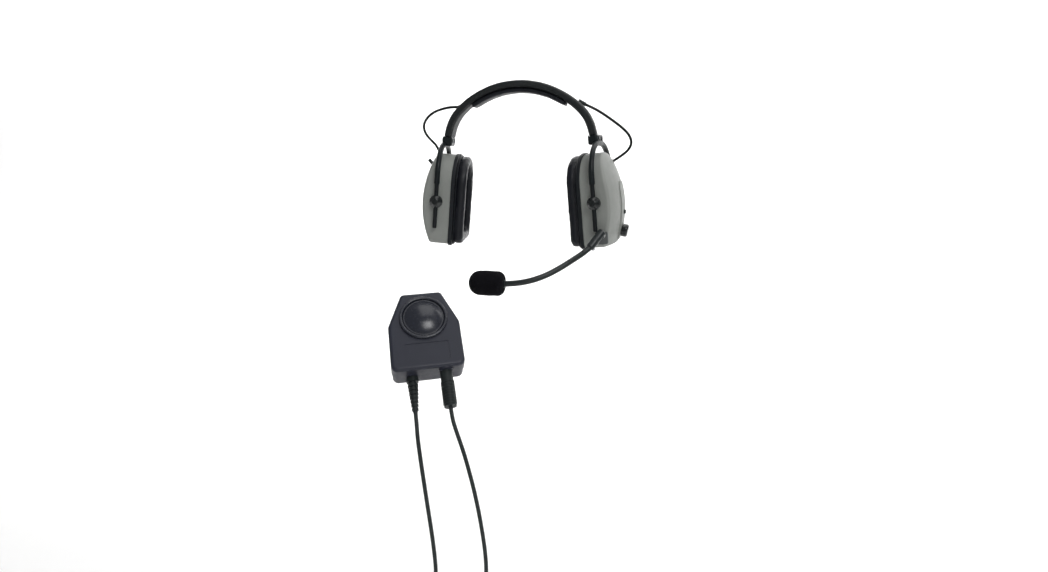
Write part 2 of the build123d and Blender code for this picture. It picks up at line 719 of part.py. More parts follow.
HALF_GASKET = GASKET_THICK / 2
FRONT_FACE = HALF_GASKET + FRONT_DEPTH
REAR_FACE = HALF_GASKET + REAR_DEPTH
SCREW_SPOTS_BOX = [(-27.5, -34), (27.5, -34), (-13, 36), (13, 36)]

with BuildPart(Plane.XY.offset(-BOX_HEIGHT / 2 - BOOT_LENGTH)) as radio_lead_boot:
    with Locations((BOOT_X, BOOT_Y)):
        Cone(LEAD_D / 2 + 0.3, 4.0, BOOT_LENGTH - 5, align=UPRIGHT)
    for rib in range(BOOT_RIBS):
        share = (rib + 0.5) / BOOT_RIBS
        with Locations((BOOT_X, BOOT_Y, 1.2 + share * (BOOT_LENGTH - 8))):
            Cylinder(LEAD_D / 2 + 1.1 + share * 2.3, 2.3)
    with Locations((BOOT_X, BOOT_Y, BOOT_LENGTH - 5)):
        Cylinder(6.0, 5, align=UPRIGHT)
    with Locations((BOOT_X, BOOT_Y, BOOT_LENGTH)):
        Cylinder(3.8, 4, align=UPRIGHT)

with BuildPart(Plane.XY.offset(-BOX_HEIGHT / 2 - SOCKET_NECK)) as ptt_socket:
    with Locations((SOCKET_X, SOCKET_Y)):
        Cylinder(6.2, SOCKET_NECK + 4, align=UPRIGHT)
        Cylinder(PLUG_NOSE_R + RUN_FIT, PLUG_NOSE + 1, align=UPRIGHT, mode=Mode.SUBTRACT)

with BuildPart(Plane.XY.offset(-BOX_HEIGHT / 2 - SOCKET_NECK - PLUG_LENGTH)) as lead_plug:
    with Locations((SOCKET_X, SOCKET_Y)):
        Cylinder(PLUG_D / 2 - 0.6, PLUG_LENGTH, align=UPRIGHT)
    for rib in range(PLUG_RIBS):
        with Locations((SOCKET_X, SOCKET_Y, 3 + rib * (PLUG_LENGTH - 8) / (PLUG_RIBS - 1))):
            Cylinder(PLUG_D / 2, 1.4)
    with Locations((SOCKET_X, SOCKET_Y, PLUG_LENGTH)):
        Cylinder(PLUG_NOSE_R, PLUG_NOSE, align=UPRIGHT)

with BuildPart() as ptt_front_shell:
    with BuildSketch(front_plane(HALF_GASKET)):
        add(box_outline(0))
    extrude(amount=FRONT_DEPTH)
    fillet(ptt_front_shell.faces().sort_by(Axis.Y)[0].edges(), 3.5)
    with BuildSketch(front_plane(HALF_GASKET)):
        add(box_outline(BOX_WALL))
    extrude(amount=FRONT_DEPTH - BOX_WALL, mode=Mode.SUBTRACT)
    with Locations((SOCKET_X, SOCKET_Y - 2.6, -BOX_HEIGHT / 2 - 1.2)):
        Cylinder(SOCKET_HUMP_R, 10, align=UPRIGHT)
    with BuildSketch(front_plane(HALF_GASKET)):
        with Locations(*SCREW_SPOTS_BOX):
            Circle(3.2)
    extrude(amount=FRONT_DEPTH - BOX_WALL)
    with BuildSketch(front_plane(HALF_GASKET)):
        with Locations(*SCREW_SPOTS_BOX):
            Circle(1.3)
    extrude(amount=8, mode=Mode.SUBTRACT)
    with BuildSketch(front_plane(FRONT_FACE)):
        with Locations((0, BUTTON_Z)):
            Circle(BUTTON_R + 0.4)
    extrude(amount=-BOX_WALL - 1, mode=Mode.SUBTRACT)
    with BuildSketch(front_plane(FRONT_FACE)):
        with Locations((0, LABEL_Z)):
            RectangleRounded(*LABEL_SIZE, 2)
    extrude(amount=-0.5, mode=Mode.SUBTRACT)
    add(radio_lead_boot.part, mode=Mode.SUBTRACT)
    add(ptt_socket.part, mode=Mode.SUBTRACT)
    with Locations((SOCKET_X, SOCKET_Y, -BOX_HEIGHT / 2 - SOCKET_NECK)):
        Cylinder(6.2, SOCKET_NECK + 4, align=UPRIGHT, mode=Mode.SUBTRACT)

with BuildPart() as ptt_rear_shell:
    with BuildSketch(front_plane(-HALF_GASKET)):
        add(box_outline(0.7))
    extrude(amount=-REAR_DEPTH)
    fillet(ptt_rear_shell.faces().sort_by(Axis.Y)[-1].edges(), 3.0)
    with BuildSketch(front_plane(-HALF_GASKET)):
        add(box_outline(BOX_WALL + 0.7))
    extrude(amount=-REAR_DEPTH + BOX_WALL, mode=Mode.SUBTRACT)
    with BuildSketch(front_plane(-HALF_GASKET)):
        with Locations(*SCREW_SPOTS_BOX):
            Circle(3.4)
    extrude(amount=-REAR_DEPTH + BOX_WALL)
    with BuildSketch(front_plane(-HALF_GASKET)):
        with Locations(*SCREW_SPOTS_BOX):
            Circle(1.3)
    extrude(amount=-REAR_DEPTH, mode=Mode.SUBTRACT)
    with BuildSketch(front_plane(-REAR_FACE)):
        with Locations(*SCREW_SPOTS_BOX):
            Circle(2.5)
    extrude(amount=1.6, mode=Mode.SUBTRACT)
    with Locations((-EAR_X, REAR_FACE - 1, CLIP_Z), (EAR_X, REAR_FACE - 1, CLIP_Z)):
        Box(EAR_THICK, CLIP_STAND + 5, 8, align=(Align.CENTER, Align.MIN, Align.CENTER))
    with Locations((0, REAR_FACE + CLIP_STAND, CLIP_Z)):
        Cylinder(CLIP_PIN_D / 2, 2 * EAR_X + EAR_THICK, rotation=(0, 90, 0), mode=Mode.SUBTRACT)
    with Locations((BOOT_X, BOOT_Y, -BOX_HEIGHT / 2)):
        Cylinder(3.8, 10, mode=Mode.SUBTRACT)
    with Locations((SOCKET_X, SOCKET_Y, -BOX_HEIGHT / 2 - SOCKET_NECK)):
        Cylinder(6.2, SOCKET_NECK + 4, align=UPRIGHT, mode=Mode.SUBTRACT)

with BuildPart() as ptt_gasket:
    with BuildSketch(front_plane(-HALF_GASKET)):
        add(box_outline(1.8))
        add(box_outline(BOX_WALL + 0.7), mode=Mode.SUBTRACT)
    extrude(amount=GASKET_THICK)
    with Locations((BOOT_X, BOOT_Y, -BOX_HEIGHT / 2)):
        Cylinder(3.8, 10, mode=Mode.SUBTRACT)
    with Locations((SOCKET_X, SOCKET_Y, -BOX_HEIGHT / 2)):
        Cylinder(6.2, 12, mode=Mode.SUBTRACT)

with BuildPart() as ptt_screws:
    with BuildSketch(front_plane(-REAR_FACE + 1.6)):
        with Locations(*SCREW_SPOTS_BOX):
            Circle(1.3)
    extrude(amount=REAR_DEPTH - 1.6 + GASKET_THICK + 7)
    with BuildSketch(front_plane(-REAR_FACE + 1.6)):
        with Locations(*SCREW_SPOTS_BOX):
            Circle(2.5)
    extrude(amount=-1.3)

with BuildPart(front_plane(FRONT_FACE)) as ptt_button_ring:
    with Locations((0, BUTTON_Z)):
        Cylinder(RING_R, RING_TALL, align=UPRIGHT)
        Cylinder(BUTTON_R + 0.4, RING_TALL, align=UPRIGHT, mode=Mode.SUBTRACT)
    fillet(ptt_button_ring.edges().filter_by(GeomType.CIRCLE).group_by(Axis.Y)[0], 1.4)

with BuildPart(front_plane(FRONT_FACE - BOX_WALL - 1.3)) as button_base:
    with Locations((0, BUTTON_Z)):
        Cylinder(BUTTON_R + 1.5, 1.0, align=UPRIGHT)
        Cylinder(BUTTON_R, BOX_WALL + 1.3 + 1.2, align=UPRIGHT)
    fillet(button_base.edges().filter_by(GeomType.CIRCLE).group_by(Axis.Y)[0], 0.6)
    with Locations((0, BUTTON_Z, -STEM_LENGTH)):
        Cylinder(4, STEM_LENGTH, align=UPRIGHT)

with BuildPart(front_plane(FRONT_FACE + 1)) as button_dome:
    with Locations((0, BUTTON_Z)):
        Cylinder(BUTTON_R - 1.6, BUTTON_RISE, align=UPRIGHT)
    with Locations((0, BUTTON_Z, BUTTON_RISE - BUTTON_DOME_R)):
        Sphere(BUTTON_DOME_R, mode=Mode.INTERSECT)

with BuildPart() as ptt_button:
    add(button_base.part)
    add(button_dome.part)

with BuildPart(front_plane(-3)) as ptt_switch:
    with Locations((0, BUTTON_Z)):
        Box(30, 24, 1.6, align=UPRIGHT)
        Box(13, 9, FRONT_FACE - BOX_WALL - 1.3 - STEM_LENGTH - BUTTON_TRAVEL - 0.4 + 3, align=UPRIGHT)

with BuildPart() as clip_pin:
    with Locations((0, REAR_FACE + CLIP_STAND, CLIP_Z)):
        Cylinder(CLIP_PIN_D / 2, 2 * EAR_X + EAR_THICK, rotation=(0, 90, 0))

with BuildPart() as clip_lever:
    lever_width = 2 * EAR_X - EAR_THICK - 1
    with BuildSketch(Plane.YZ):
        with BuildLine():
            Polyline(
                (REAR_FACE + CLIP_STAND - 0.6, CLIP_Z + TAB_LENGTH),
                (REAR_FACE + CLIP_STAND + 2, CLIP_Z + TAB_LENGTH),
                (REAR_FACE + CLIP_STAND + 2, CLIP_Z - JAW_LENGTH), (REAR_FACE + 0.9, CLIP_Z - JAW_LENGTH),
                (REAR_FACE + 0.9, CLIP_Z - JAW_LENGTH + 2.2),
                (REAR_FACE + CLIP_STAND - 0.6, CLIP_Z - JAW_LENGTH + 7),
                close=True,
            )
        make_face()
    extrude(amount=lever_width / 2, both=True)
    with Locations((0, REAR_FACE + CLIP_STAND, CLIP_Z)):
        Cylinder(3.1, lever_width, rotation=(0, 90, 0))
        Cylinder(CLIP_PIN_D / 2 + RUN_FIT, lever_width, rotation=(0, 90, 0), mode=Mode.SUBTRACT)

with BuildPart(front_plane(-REAR_FACE)) as clip_spring:
    with Locations((0, CLIP_Z + SPRING_UP)):
        Cylinder(3.0, CLIP_STAND - 0.6, align=(Align.CENTER, Align.CENTER, Align.MAX))
        Cylinder(2.2, CLIP_STAND - 0.6, align=(Align.CENTER, Align.CENTER, Align.MAX), mode=Mode.SUBTRACT)

for piece, node in (
    (ptt_front_shell, "ptt_front_shell"), (ptt_rear_shell, "ptt_rear_shell"),
    (ptt_gasket, "ptt_gasket"), (ptt_screws, "ptt_screws"), (ptt_button_ring, "ptt_button_ring"),
    (ptt_button, "ptt_button"), (ptt_switch, "ptt_switch"), (clip_pin, "clip_pin"),
    (clip_lever, "clip_lever"), (clip_spring, "clip_spring"),
    (radio_lead_boot, "radio_lead_boot"), (ptt_socket, "ptt_socket"), (lead_plug, "lead_plug"),
):
    write(on_box(piece.part), node)


# --- Leads ------------------------------------------------------------------------------------

def hank(end):
    """The closed form of a folded, tied hank that hangs from the end of a lead."""
    with BuildPart() as folded:
        with Locations((end[0], end[1], end[2] - HANK_SIZE[2] / 2)):
            Box(*HANK_SIZE)
        fillet(folded.edges(), HANK_SIZE[1] / 2 - 1)
    return folded.part


def end_plug(top, sizes):
    """A plug that hangs below a hank: each size is a radius and a length, from the top down."""
    with BuildPart() as plug:
        low = top[2]
        for radius, length in sizes:
            low -= length
            with Locations((top[0], top[1], low)):
                Cylinder(radius, length, align=UPRIGHT)
    return plug.part


def from_box(x, y, low):
    """Where a lead leaves the box's boot or plug, and a point straight on from there."""
    leaving = (BOX_PLACE * Location((x, y, low))).position
    return [tuple(leaving), beyond(leaving, (BOX_PLACE * Location((x, y, 0))).position, 12)]


RADIO_LEAD = from_box(BOOT_X, BOOT_Y, -BOX_HEIGHT / 2 - BOOT_LENGTH) + RADIO_LEAD
HEADSET_LEAD = from_box(SOCKET_X, SOCKET_Y, -BOX_HEIGHT / 2 - SOCKET_NECK - PLUG_LENGTH) + HEADSET_LEAD
radio_hank_foot = (RADIO_LEAD[-1][0], RADIO_LEAD[-1][1], RADIO_LEAD[-1][2] - HANK_SIZE[2])
headset_hank_foot = (HEADSET_LEAD[-1][0], HEADSET_LEAD[-1][1], HEADSET_LEAD[-1][2] - HANK_SIZE[2])

write(tube(RADIO_LEAD, LEAD_D), "radio_lead")
write(tube(HEADSET_LEAD, LEAD_D), "headset_lead")
write(hank(RADIO_LEAD[-1]), "radio_lead_hank")
write(hank(HEADSET_LEAD[-1]), "headset_lead_hank")
write(end_plug(radio_hank_foot, RADIO_PLUG), "radio_plug")
write(end_plug(headset_hank_foot, HEADSET_PLUG), "headset_plug")
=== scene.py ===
"""The look of the radio headset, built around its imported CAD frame.

The scene is in metres, +Z is up and the wearer faces -Y. Lengths that are named here are in
millimetres, unless a comment says otherwise.
"""

import json
import math

import bmesh
import bpy
from mathutils import Matrix, Vector, noise


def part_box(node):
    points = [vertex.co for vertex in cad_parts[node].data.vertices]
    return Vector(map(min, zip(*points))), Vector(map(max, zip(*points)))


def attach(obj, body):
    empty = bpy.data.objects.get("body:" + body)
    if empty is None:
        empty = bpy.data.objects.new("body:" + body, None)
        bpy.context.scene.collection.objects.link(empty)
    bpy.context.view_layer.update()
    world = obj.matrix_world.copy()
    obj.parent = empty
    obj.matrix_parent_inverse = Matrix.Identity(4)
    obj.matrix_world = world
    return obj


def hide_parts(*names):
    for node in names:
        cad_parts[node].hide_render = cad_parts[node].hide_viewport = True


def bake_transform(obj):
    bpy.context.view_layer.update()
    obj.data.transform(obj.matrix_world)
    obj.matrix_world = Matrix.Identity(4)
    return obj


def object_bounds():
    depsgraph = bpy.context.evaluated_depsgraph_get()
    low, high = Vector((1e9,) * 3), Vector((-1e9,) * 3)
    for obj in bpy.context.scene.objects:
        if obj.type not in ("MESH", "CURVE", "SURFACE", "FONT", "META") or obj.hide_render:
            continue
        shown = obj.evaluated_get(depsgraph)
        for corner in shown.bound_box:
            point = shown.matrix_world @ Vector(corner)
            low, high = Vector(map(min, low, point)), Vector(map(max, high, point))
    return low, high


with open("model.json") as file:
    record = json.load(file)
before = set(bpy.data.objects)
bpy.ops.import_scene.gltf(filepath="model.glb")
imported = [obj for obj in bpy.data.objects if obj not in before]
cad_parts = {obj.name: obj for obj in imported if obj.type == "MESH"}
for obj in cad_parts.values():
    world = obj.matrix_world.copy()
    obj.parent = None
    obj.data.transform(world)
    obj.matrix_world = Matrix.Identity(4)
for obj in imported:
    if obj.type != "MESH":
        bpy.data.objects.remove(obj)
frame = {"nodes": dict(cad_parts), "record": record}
nodes = frame["nodes"]
CAD_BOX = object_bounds()
MM = 0.001  # one millimetre of the scene
scene = bpy.context.scene


# --- Camera ---------------------------------------------------------------------------------------

SENSOR_WIDTH, LENS = 36.0, 19.77
CAMERA_AT = (0.1586, -0.6853, 0.0571)  # metres
CAMERA_BACK = (0.2142, -0.9498, 0.2280)  # from what it looks at, towards the camera
CAMERA_ACROSS = (0.9755, 0.2200, 0.0)
CAMERA_ROLL = math.radians(-0.35)


def add_camera():
    """The camera at the photograph's viewing angle."""
    data = bpy.data.cameras.new("camera")
    data.sensor_fit = "HORIZONTAL"
    data.sensor_width = SENSOR_WIDTH
    data.lens = LENS
    data.clip_start = 0.01
    camera = bpy.data.objects.new("camera", data)
    scene.collection.objects.link(camera)
    back = Vector(CAMERA_BACK).normalized()
    across = Vector(CAMERA_ACROSS).normalized()
    upright = back.cross(across)
    turn = Matrix((across, upright, back)).transposed()
    roll = Matrix.Rotation(CAMERA_ROLL, 3, "Z")
    camera.matrix_world = Matrix.Translation(CAMERA_AT) @ (turn @ roll).to_4x4()
    scene.camera = camera


add_camera()


# --- Materials ------------------------------------------------------------------------------------

class Shader:
    """A small helper for writing node materials."""

    def __init__(self, name):
        self.material = bpy.data.materials.new(name)
        self.material.use_nodes = True
        self.tree = self.material.node_tree
        self.surface = next(n for n in self.tree.nodes if n.type == "BSDF_PRINCIPLED")

    def node(self, kind, values=None, **settings):
        made = self.tree.nodes.new(kind)
        for key, value in settings.items():
            setattr(made, key, value)
        for key, value in (values or {}).items():
            made.inputs[key].default_value = value
        return made

    def link(self, out, into):
        self.tree.links.new(out, into)

    def place(self, coordinates, stretch=(1, 1, 1)):
        """Texture coordinates in millimetres; a UV map here is already laid out in millimetres."""
        source = self.node("ShaderNodeTexCoord")
        scaled = self.node("ShaderNodeMapping")
        factor = 1000 if coordinates == "Object" else 1
        scaled.inputs["Scale"].default_value = [factor * s for s in stretch]
        self.link(source.outputs[coordinates], scaled.inputs["Vector"])
        return scaled.outputs["Vector"]

    def noise(self, vector, scale, detail=3.0, rough=0.5):
        """Noise whose features are about 1/scale millimetres across."""
        made = self.node("ShaderNodeTexNoise", {"Scale": scale, "Detail": detail, "Roughness": rough})
        self.link(vector, made.inputs["Vector"])
        return made.outputs["Fac"]

    def cells(self, vector, scale, feature="F1"):
        """Distance to the middle of the nearest cell, for pits and pebbles."""
        made = self.node("ShaderNodeTexVoronoi", {"Scale": scale}, feature=feature)
        self.link(vector, made.inputs["Vector"])
        return made.outputs["Distance"]

    def spread(self, value, low, high, from_low=0.3, from_high=0.7):
        """Maps a value's usual range to low..high."""
        made = self.node("ShaderNodeMapRange", {
            "From Min": from_low, "From Max": from_high, "To Min": low, "To Max": high,
        })
        self.link(value, made.inputs["Value"])
        return made.outputs["Result"]

    def tint(self, value, dark, light):
        """A colour between dark and light."""
        made = self.node("ShaderNodeMix", data_type="RGBA")
        made.inputs["A"].default_value = (*dark, 1)
        made.inputs["B"].default_value = (*light, 1)
        self.link(value, made.inputs["Factor"])
        return made.outputs["Result"]

    def bump(self, height, distance_mm, strength=1.0, under=None):
        made = self.node("ShaderNodeBump", {"Strength": strength, "Distance": distance_mm * MM})
        self.link(height, made.inputs["Height"])
        if under is not None:
            self.link(under, made.inputs["Normal"])
        return made.outputs["Normal"]

    def finish(self, colour, rough, normal=None, **constants):
        self.link(colour, self.surface.inputs["Base Color"])
        self.link(rough, self.surface.inputs["Roughness"])
        if normal is not None:
            self.link(normal, self.surface.inputs["Normal"])
        for key, value in constants.items():
            self.surface.inputs[key.replace("_", " ")].default_value = value
        return self.material


def shades(colour, spread):
    """A darker and a lighter version of a colour."""
    return [c * (1 - spread) for c in colour], [min(c * (1 + spread), 1) for c in colour]


def moulded(name, colour, rough, grain=2.2, depth=0.05, spread=0.12, **constants):
    """Moulded plastic: cloudy colour, spark-eroded grain and rubbed patches."""
    s = Shader(name)
    where = s.place("Object")
    cloud = s.noise(where, 0.035, 4)
    smear = s.noise(where, 0.16, 5, 0.6)
    fine = s.noise(where, grain, 2)
    normal = s.bump(fine, depth)
    return s.finish(
        s.tint(cloud, *shades(colour, spread)), s.spread(smear, rough - 0.06, rough + 0.08), normal,
        **constants,
    )


def hide(name, colour, rough, pebble=0.9, depth=0.14, spread=0.2, **constants):
    """Vinyl or leather: pebbled grain with creases."""
    s = Shader(name)
    where = s.place("Object")
    pebbles = s.cells(where, pebble, "SMOOTH_F1")
    crease = s.noise(where, 0.22, 6, 0.65)
    patch = s.noise(where, 0.05, 3)
    under = s.bump(crease, 0.5, 0.6)
    normal = s.bump(pebbles, depth, 0.9, under)
    return s.finish(
        s.tint(patch, *shades(colour, spread)), s.spread(crease, rough - 0.08, rough + 0.12), normal,
        **constants,
    )


def braided(name, colour, rough):
    """A braided sheath: two sets of yarns that cross on the slant."""
    s = Shader(name)
    where = s.place("UV")
    waves = []
    for slant in (45, -45):
        turned = s.node("ShaderNodeMapping")
        turned.inputs["Rotation"].default_value = (0, 0, math.radians(slant))
        s.link(where, turned.inputs["Vector"])
        wave = s.node("ShaderNodeTexWave", {"Scale": 0.2, "Distortion": 0.5, "Detail": 1.0})
        s.link(turned.outputs["Vector"], wave.inputs["Vector"])
        waves.append(wave.outputs["Fac"])
    over = s.node("ShaderNodeMath", operation="MAXIMUM")
    for index, wave in enumerate(waves):
        s.link(wave, over.inputs[index])
    yarn = s.noise(where, 3.0, 2)
    patch = s.noise(where, 0.06, 4)
    under = s.bump(over.outputs["Value"], 0.35, 0.9)
    normal = s.bump(yarn, 0.05, 0.7, under)
    return s.finish(
        s.tint(patch, *shades(colour, 0.25)), s.spread(over.outputs["Value"], rough + 0.15, rough, 0, 1),
        normal, Specular_IOR_Level=0.24,
    )


def open_foam(name, colour, pore=1.3, depth=0.5):
    """Open-cell foam: pits darkened with painted shade, with no shine."""
    s = Shader(name)
    where = s.place("Object")
    pits_and_pore_shade = s.cells(where, pore)
    patch = s.noise(where, 0.12, 4)
    normal = s.bump(s.spread(pits_and_pore_shade, 1, 0, 0, 0.6), depth)
    return s.finish(
        # The colour is darker in the pits: painted shade in the foam's pores.
        s.tint(pits_and_pore_shade, *shades(colour, 0.5)), s.spread(patch, 0.88, 0.98), normal,
        Specular_IOR_Level=0.08,
    )


def metal(name, colour, rough):
    """Plated metal with fine drawn lines."""
    s = Shader(name)
    where = s.place("Object", (1, 1, 6))
    lines = s.noise(where, 0.8, 4)
    wear = s.noise(where, 0.1, 4)
    return s.finish(
        s.tint(wear, *shades(colour, 0.12)), s.spread(lines, rough - 0.05, rough + 0.12),
        s.bump(lines, 0.02), Metallic=1.0,
    )


def two_tone_plug(name, grip, contact, grip_end_z):
    """A plug whose moulded grip ends at a height in millimetres, with its plated contact below that."""
    s = Shader(name)
    where = s.place("Object")
    split = s.node("ShaderNodeSeparateXYZ")
    s.link(where, split.inputs["Vector"])
    below = s.node("ShaderNodeMath", {1: grip_end_z}, operation="LESS_THAN")
    s.link(split.outputs["Z"], below.inputs[0])
    wear = s.noise(where, 0.3, 4)
    both = s.node("ShaderNodeMix", data_type="RGBA")
    s.link(below.outputs["Value"], both.inputs["Factor"])
    s.link(s.tint(wear, *shades(grip, 0.15)), both.inputs["A"])
    s.link(s.tint(wear, *shades(contact, 0.1)), both.inputs["B"])
    s.link(below.outputs["Value"], s.surface.inputs["Metallic"])
    return s.finish(
        both.outputs["Result"], s.spread(wear, 0.3, 0.42), s.bump(wear, 0.02), Specular_IOR_Level=0.25,
    )


SHELL = (0.212, 0.222, 0.208)
DULL = {"Specular_IOR_Level": 0.18}
SATIN = {"Specular_IOR_Level": 0.3}
GLOSSY = {"Specular_IOR_Level": 0.4}
PLUG_GRIP_END = -478.0  # the height where the radio plug's contact starts
MATERIALS = {
    "shell": moulded("shell_paint", SHELL, 0.5, 1.7, 0.035, 0.07, **GLOSSY),
    # The bracket is the shell's grey with painted shade in it: darkened for the shadow it sits in on the
    # cup's front.
    "bracket": moulded(
        "bracket_shell_painted_shade", (0.085, 0.092, 0.092), 0.5, 1.7, 0.03, 0.08, Specular_IOR_Level=0.35,
    ),
    "base_plate": moulded("base_plate_plastic", (0.008, 0.010, 0.012), 0.46, **DULL),
    "fork_plastic": moulded("fork_plastic", (0.006, 0.009, 0.010), 0.34, 1.4, 0.03, **DULL),
    "rod_metal": moulded("rod_lacquer", (0.007, 0.009, 0.010), 0.30, 3.0, 0.012, **DULL),
    "rivet": moulded("rivet_lacquer", (0.014, 0.018, 0.020), 0.34, 3.0, 0.012, Specular_IOR_Level=0.35),
    "knob": moulded("knob_gloss", (0.006, 0.008, 0.008), 0.16, 3.0, 0.006, **GLOSSY),
    "cushion": hide("cushion_vinyl", (0.004, 0.005, 0.008), 0.38, 0.8, 0.07, Specular_IOR_Level=0.26),
    "band_pad": hide("pad_vinyl", (0.005, 0.006, 0.009), 0.46, 0.9, 0.10, **DULL),
    "band_cover": braided("band_braid", (0.006, 0.008, 0.009), 0.42),
    "foam": open_foam("liner_foam", (0.020, 0.021, 0.024)),
    "windscreen": open_foam("windscreen_foam", (0.0045, 0.0045, 0.0060), 1.7, 0.35),
    "speaker": moulded("speaker_paint", (0.020, 0.021, 0.024), 0.5, **DULL),
    "screw": metal("plated_steel", (0.55, 0.56, 0.58), 0.28),
    "band_spring": metal("spring_steel", (0.50, 0.52, 0.55), 0.3),
    "cable": moulded("loop_rubber", (0.008, 0.010, 0.010), 0.42, 2.0, 0.03, **DULL),
    "lead_jacket": moulded("lead_rubber", (0.020, 0.024, 0.025), 0.46, 2.0, 0.03, **DULL),
    "relief": moulded("relief_rubber", (0.015, 0.019, 0.019), 0.40, 1.8, 0.03, **DULL),
    "board": moulded("board_mask", (0.012, 0.060, 0.030), 0.35),
    "dark_metal": moulded("sleeve_lacquer", (0.012, 0.016, 0.017), 0.34, 2.4, 0.015, **SATIN),
    "gooseneck": moulded("gooseneck_skin", (0.009, 0.013, 0.013), 0.32, 1.2, 0.03, **SATIN),
    "box": moulded("box_plastic", (0.018, 0.020, 0.031), 0.40, 1.4, 0.025, **SATIN),
    "box_button": moulded("button_gloss", (0.015, 0.017, 0.025), 0.24, 3.0, 0.006, **GLOSSY),
    "gasket": moulded("gasket_rubber", (0.004, 0.004, 0.005), 0.6, **DULL),
    "plug_metal": two_tone_plug(
        "contact_plate", (0.012, 0.014, 0.014), (0.72, 0.62, 0.40), PLUG_GRIP_END,
    ),
}
SLOT_OF = {s["node"]: s["material_slot"] for s in frame["record"]["subparts"]}


def paint(piece, slot):
    piece.data.materials.clear()
    piece.data.materials.append(MATERIALS[slot])


for node_name, node_object in nodes.items():
    paint(node_object, SLOT_OF[node_name])


# --- Making pieces --------------------------------------------------------------------------------

CLOTH_CELL = 3.0  # the size of a soft piece's faces while it is blown up
SWELL_LIMIT = 1.6  # how far a soft piece may swell past its modelled shape
CLOTH_FRAMES = 20


def new_piece(name, verts, faces, slot):
    """A mesh object with the material of its slot."""
    data = bpy.data.meshes.new(name)
    data.from_pydata([tuple(v) for v in verts], [], faces)
    data.update()
    piece = bpy.data.objects.new(name, data)
    scene.collection.objects.link(piece)
    tidy(piece)
    paint(piece, slot)
    return piece


def tidy(piece):
    """Normals outwards, and smooth shading."""
    mesh = bmesh.new()
    mesh.from_mesh(piece.data)
    bmesh.ops.recalc_face_normals(mesh, faces=mesh.faces)
    mesh.to_mesh(piece.data)
    mesh.free()
    shade_smooth(piece.data)


def shade_smooth(mesh):
    for face in mesh.polygons:
        face.use_smooth = True


def bake_modifiers(piece):
    """Turns the piece's modifiers into its mesh."""
    graph = bpy.context.evaluated_depsgraph_get()
    baked = bpy.data.meshes.new_from_object(piece.evaluated_get(graph))
    piece.modifiers.clear()
    old = piece.data
    piece.data = baked
    bpy.data.meshes.remove(old)
    shade_smooth(piece.data)


def remesh(piece):
    """Gives a closed skin even faces, for the cloth."""
    made = piece.modifiers.new("voxels", "REMESH")
    made.mode = "VOXEL"
    made.voxel_size = CLOTH_CELL * MM
    bake_modifiers(piece)


def subdivide(piece):
    """One level of smoothing."""
    made = piece.modifiers.new("smooth", "SUBSURF")
    made.levels = made.render_levels = 1
    bake_modifiers(piece)


def superellipse(angle, power):
    """A point of a rounded square two units across; a smaller power is squarer."""
    c, s = math.cos(angle), math.sin(angle)
    return math.copysign(abs(c) ** power, c), math.copysign(abs(s) ** power, s)


def loft(rings, closed_round=True, closed_along=False, caps=True):
    """Verts and faces of a skin through rings of equal length."""
    count, around = len(rings), len(rings[0])
    verts = [p for ring in rings for p in ring]
    faces = []
    for i in range(count if closed_along else count - 1):
        after = (i + 1) % count
        for j in range(around if closed_round else around - 1):
            k = (j + 1) % around
            faces.append((i * around + j, i * around + k, after * around + k, after * around + j))
    if caps and not closed_along:
        faces.append(tuple(range(around))[::-1])
        faces.append(tuple(range((count - 1) * around, count * around)))
    return verts, faces


def inflate(piece, is_pinned, pressure):
    """Blows the piece up as cloth, held where it is pinned, and keeps the resulting shape."""
    rest = [v.co.copy() for v in piece.data.vertices]
    held = piece.vertex_groups.new(name="held")
    held.add([i for i, co in enumerate(rest) if is_pinned(co)], 1.0, "REPLACE")
    cloth = piece.modifiers.new("cloth", "CLOTH")
    cloth.settings.use_pressure = True
    cloth.settings.uniform_pressure_force = pressure
    cloth.settings.effector_weights.gravity = 0
    cloth.settings.vertex_group_mass = "held"
    cloth.settings.tension_stiffness = cloth.settings.compression_stiffness = 25
    cloth.settings.bending_stiffness = 1.5
    cloth.settings.quality = 6
    for moment in range(1, CLOTH_FRAMES + 1):
        scene.frame_set(moment)
    graph = bpy.context.evaluated_depsgraph_get()
    moved = [v.co.copy() for v in piece.evaluated_get(graph).data.vertices]
    piece.modifiers.clear()
    scene.frame_set(1)
    limit = SWELL_LIMIT * MM
    for vertex, start, end in zip(piece.data.vertices, rest, moved):
        step = end - start
        if step.length > limit:
            step = step.normalized() * limit
        vertex.co = start + step
    piece.vertex_groups.clear()
    piece.data.update()


# --- Cords ----------------------------------------------------------------------------------------

def nurbs_curve(name, points_mm, bevel_mm=0.0):
    """A curve object whose one spline has the points as its control points."""
    data = bpy.data.curves.new(name, "CURVE")
    data.dimensions = "3D"
    data.resolution_u = 12
    spline = data.splines.new("NURBS")
    spline.points.add(len(points_mm) - 1)
    for point, place in zip(spline.points, points_mm):
        point.co = (*[c * MM for c in place], 1)
    spline.order_u = 3
    spline.use_endpoint_u = True
    data.bevel_depth = bevel_mm * MM
    data.bevel_resolution = 5
    data.use_fill_caps = True
    curve = bpy.data.objects.new(name, data)
    scene.collection.objects.link(curve)
    return curve


def curve_line(points_mm):
    """The points that a spline with these control points runs along."""
    curve = nurbs_curve("scratch", points_mm)
    line = bpy.data.meshes.new_from_object(curve)
    places = [v.co.copy() for v in line.vertices]
    data = curve.data
    bpy.data.objects.remove(curve)
    bpy.data.curves.remove(data)
    bpy.data.meshes.remove(line)
    return places


def line_length(places):
    return sum((b - a).length for a, b in zip(places, places[1:]))


TUBE_SIDES = 14


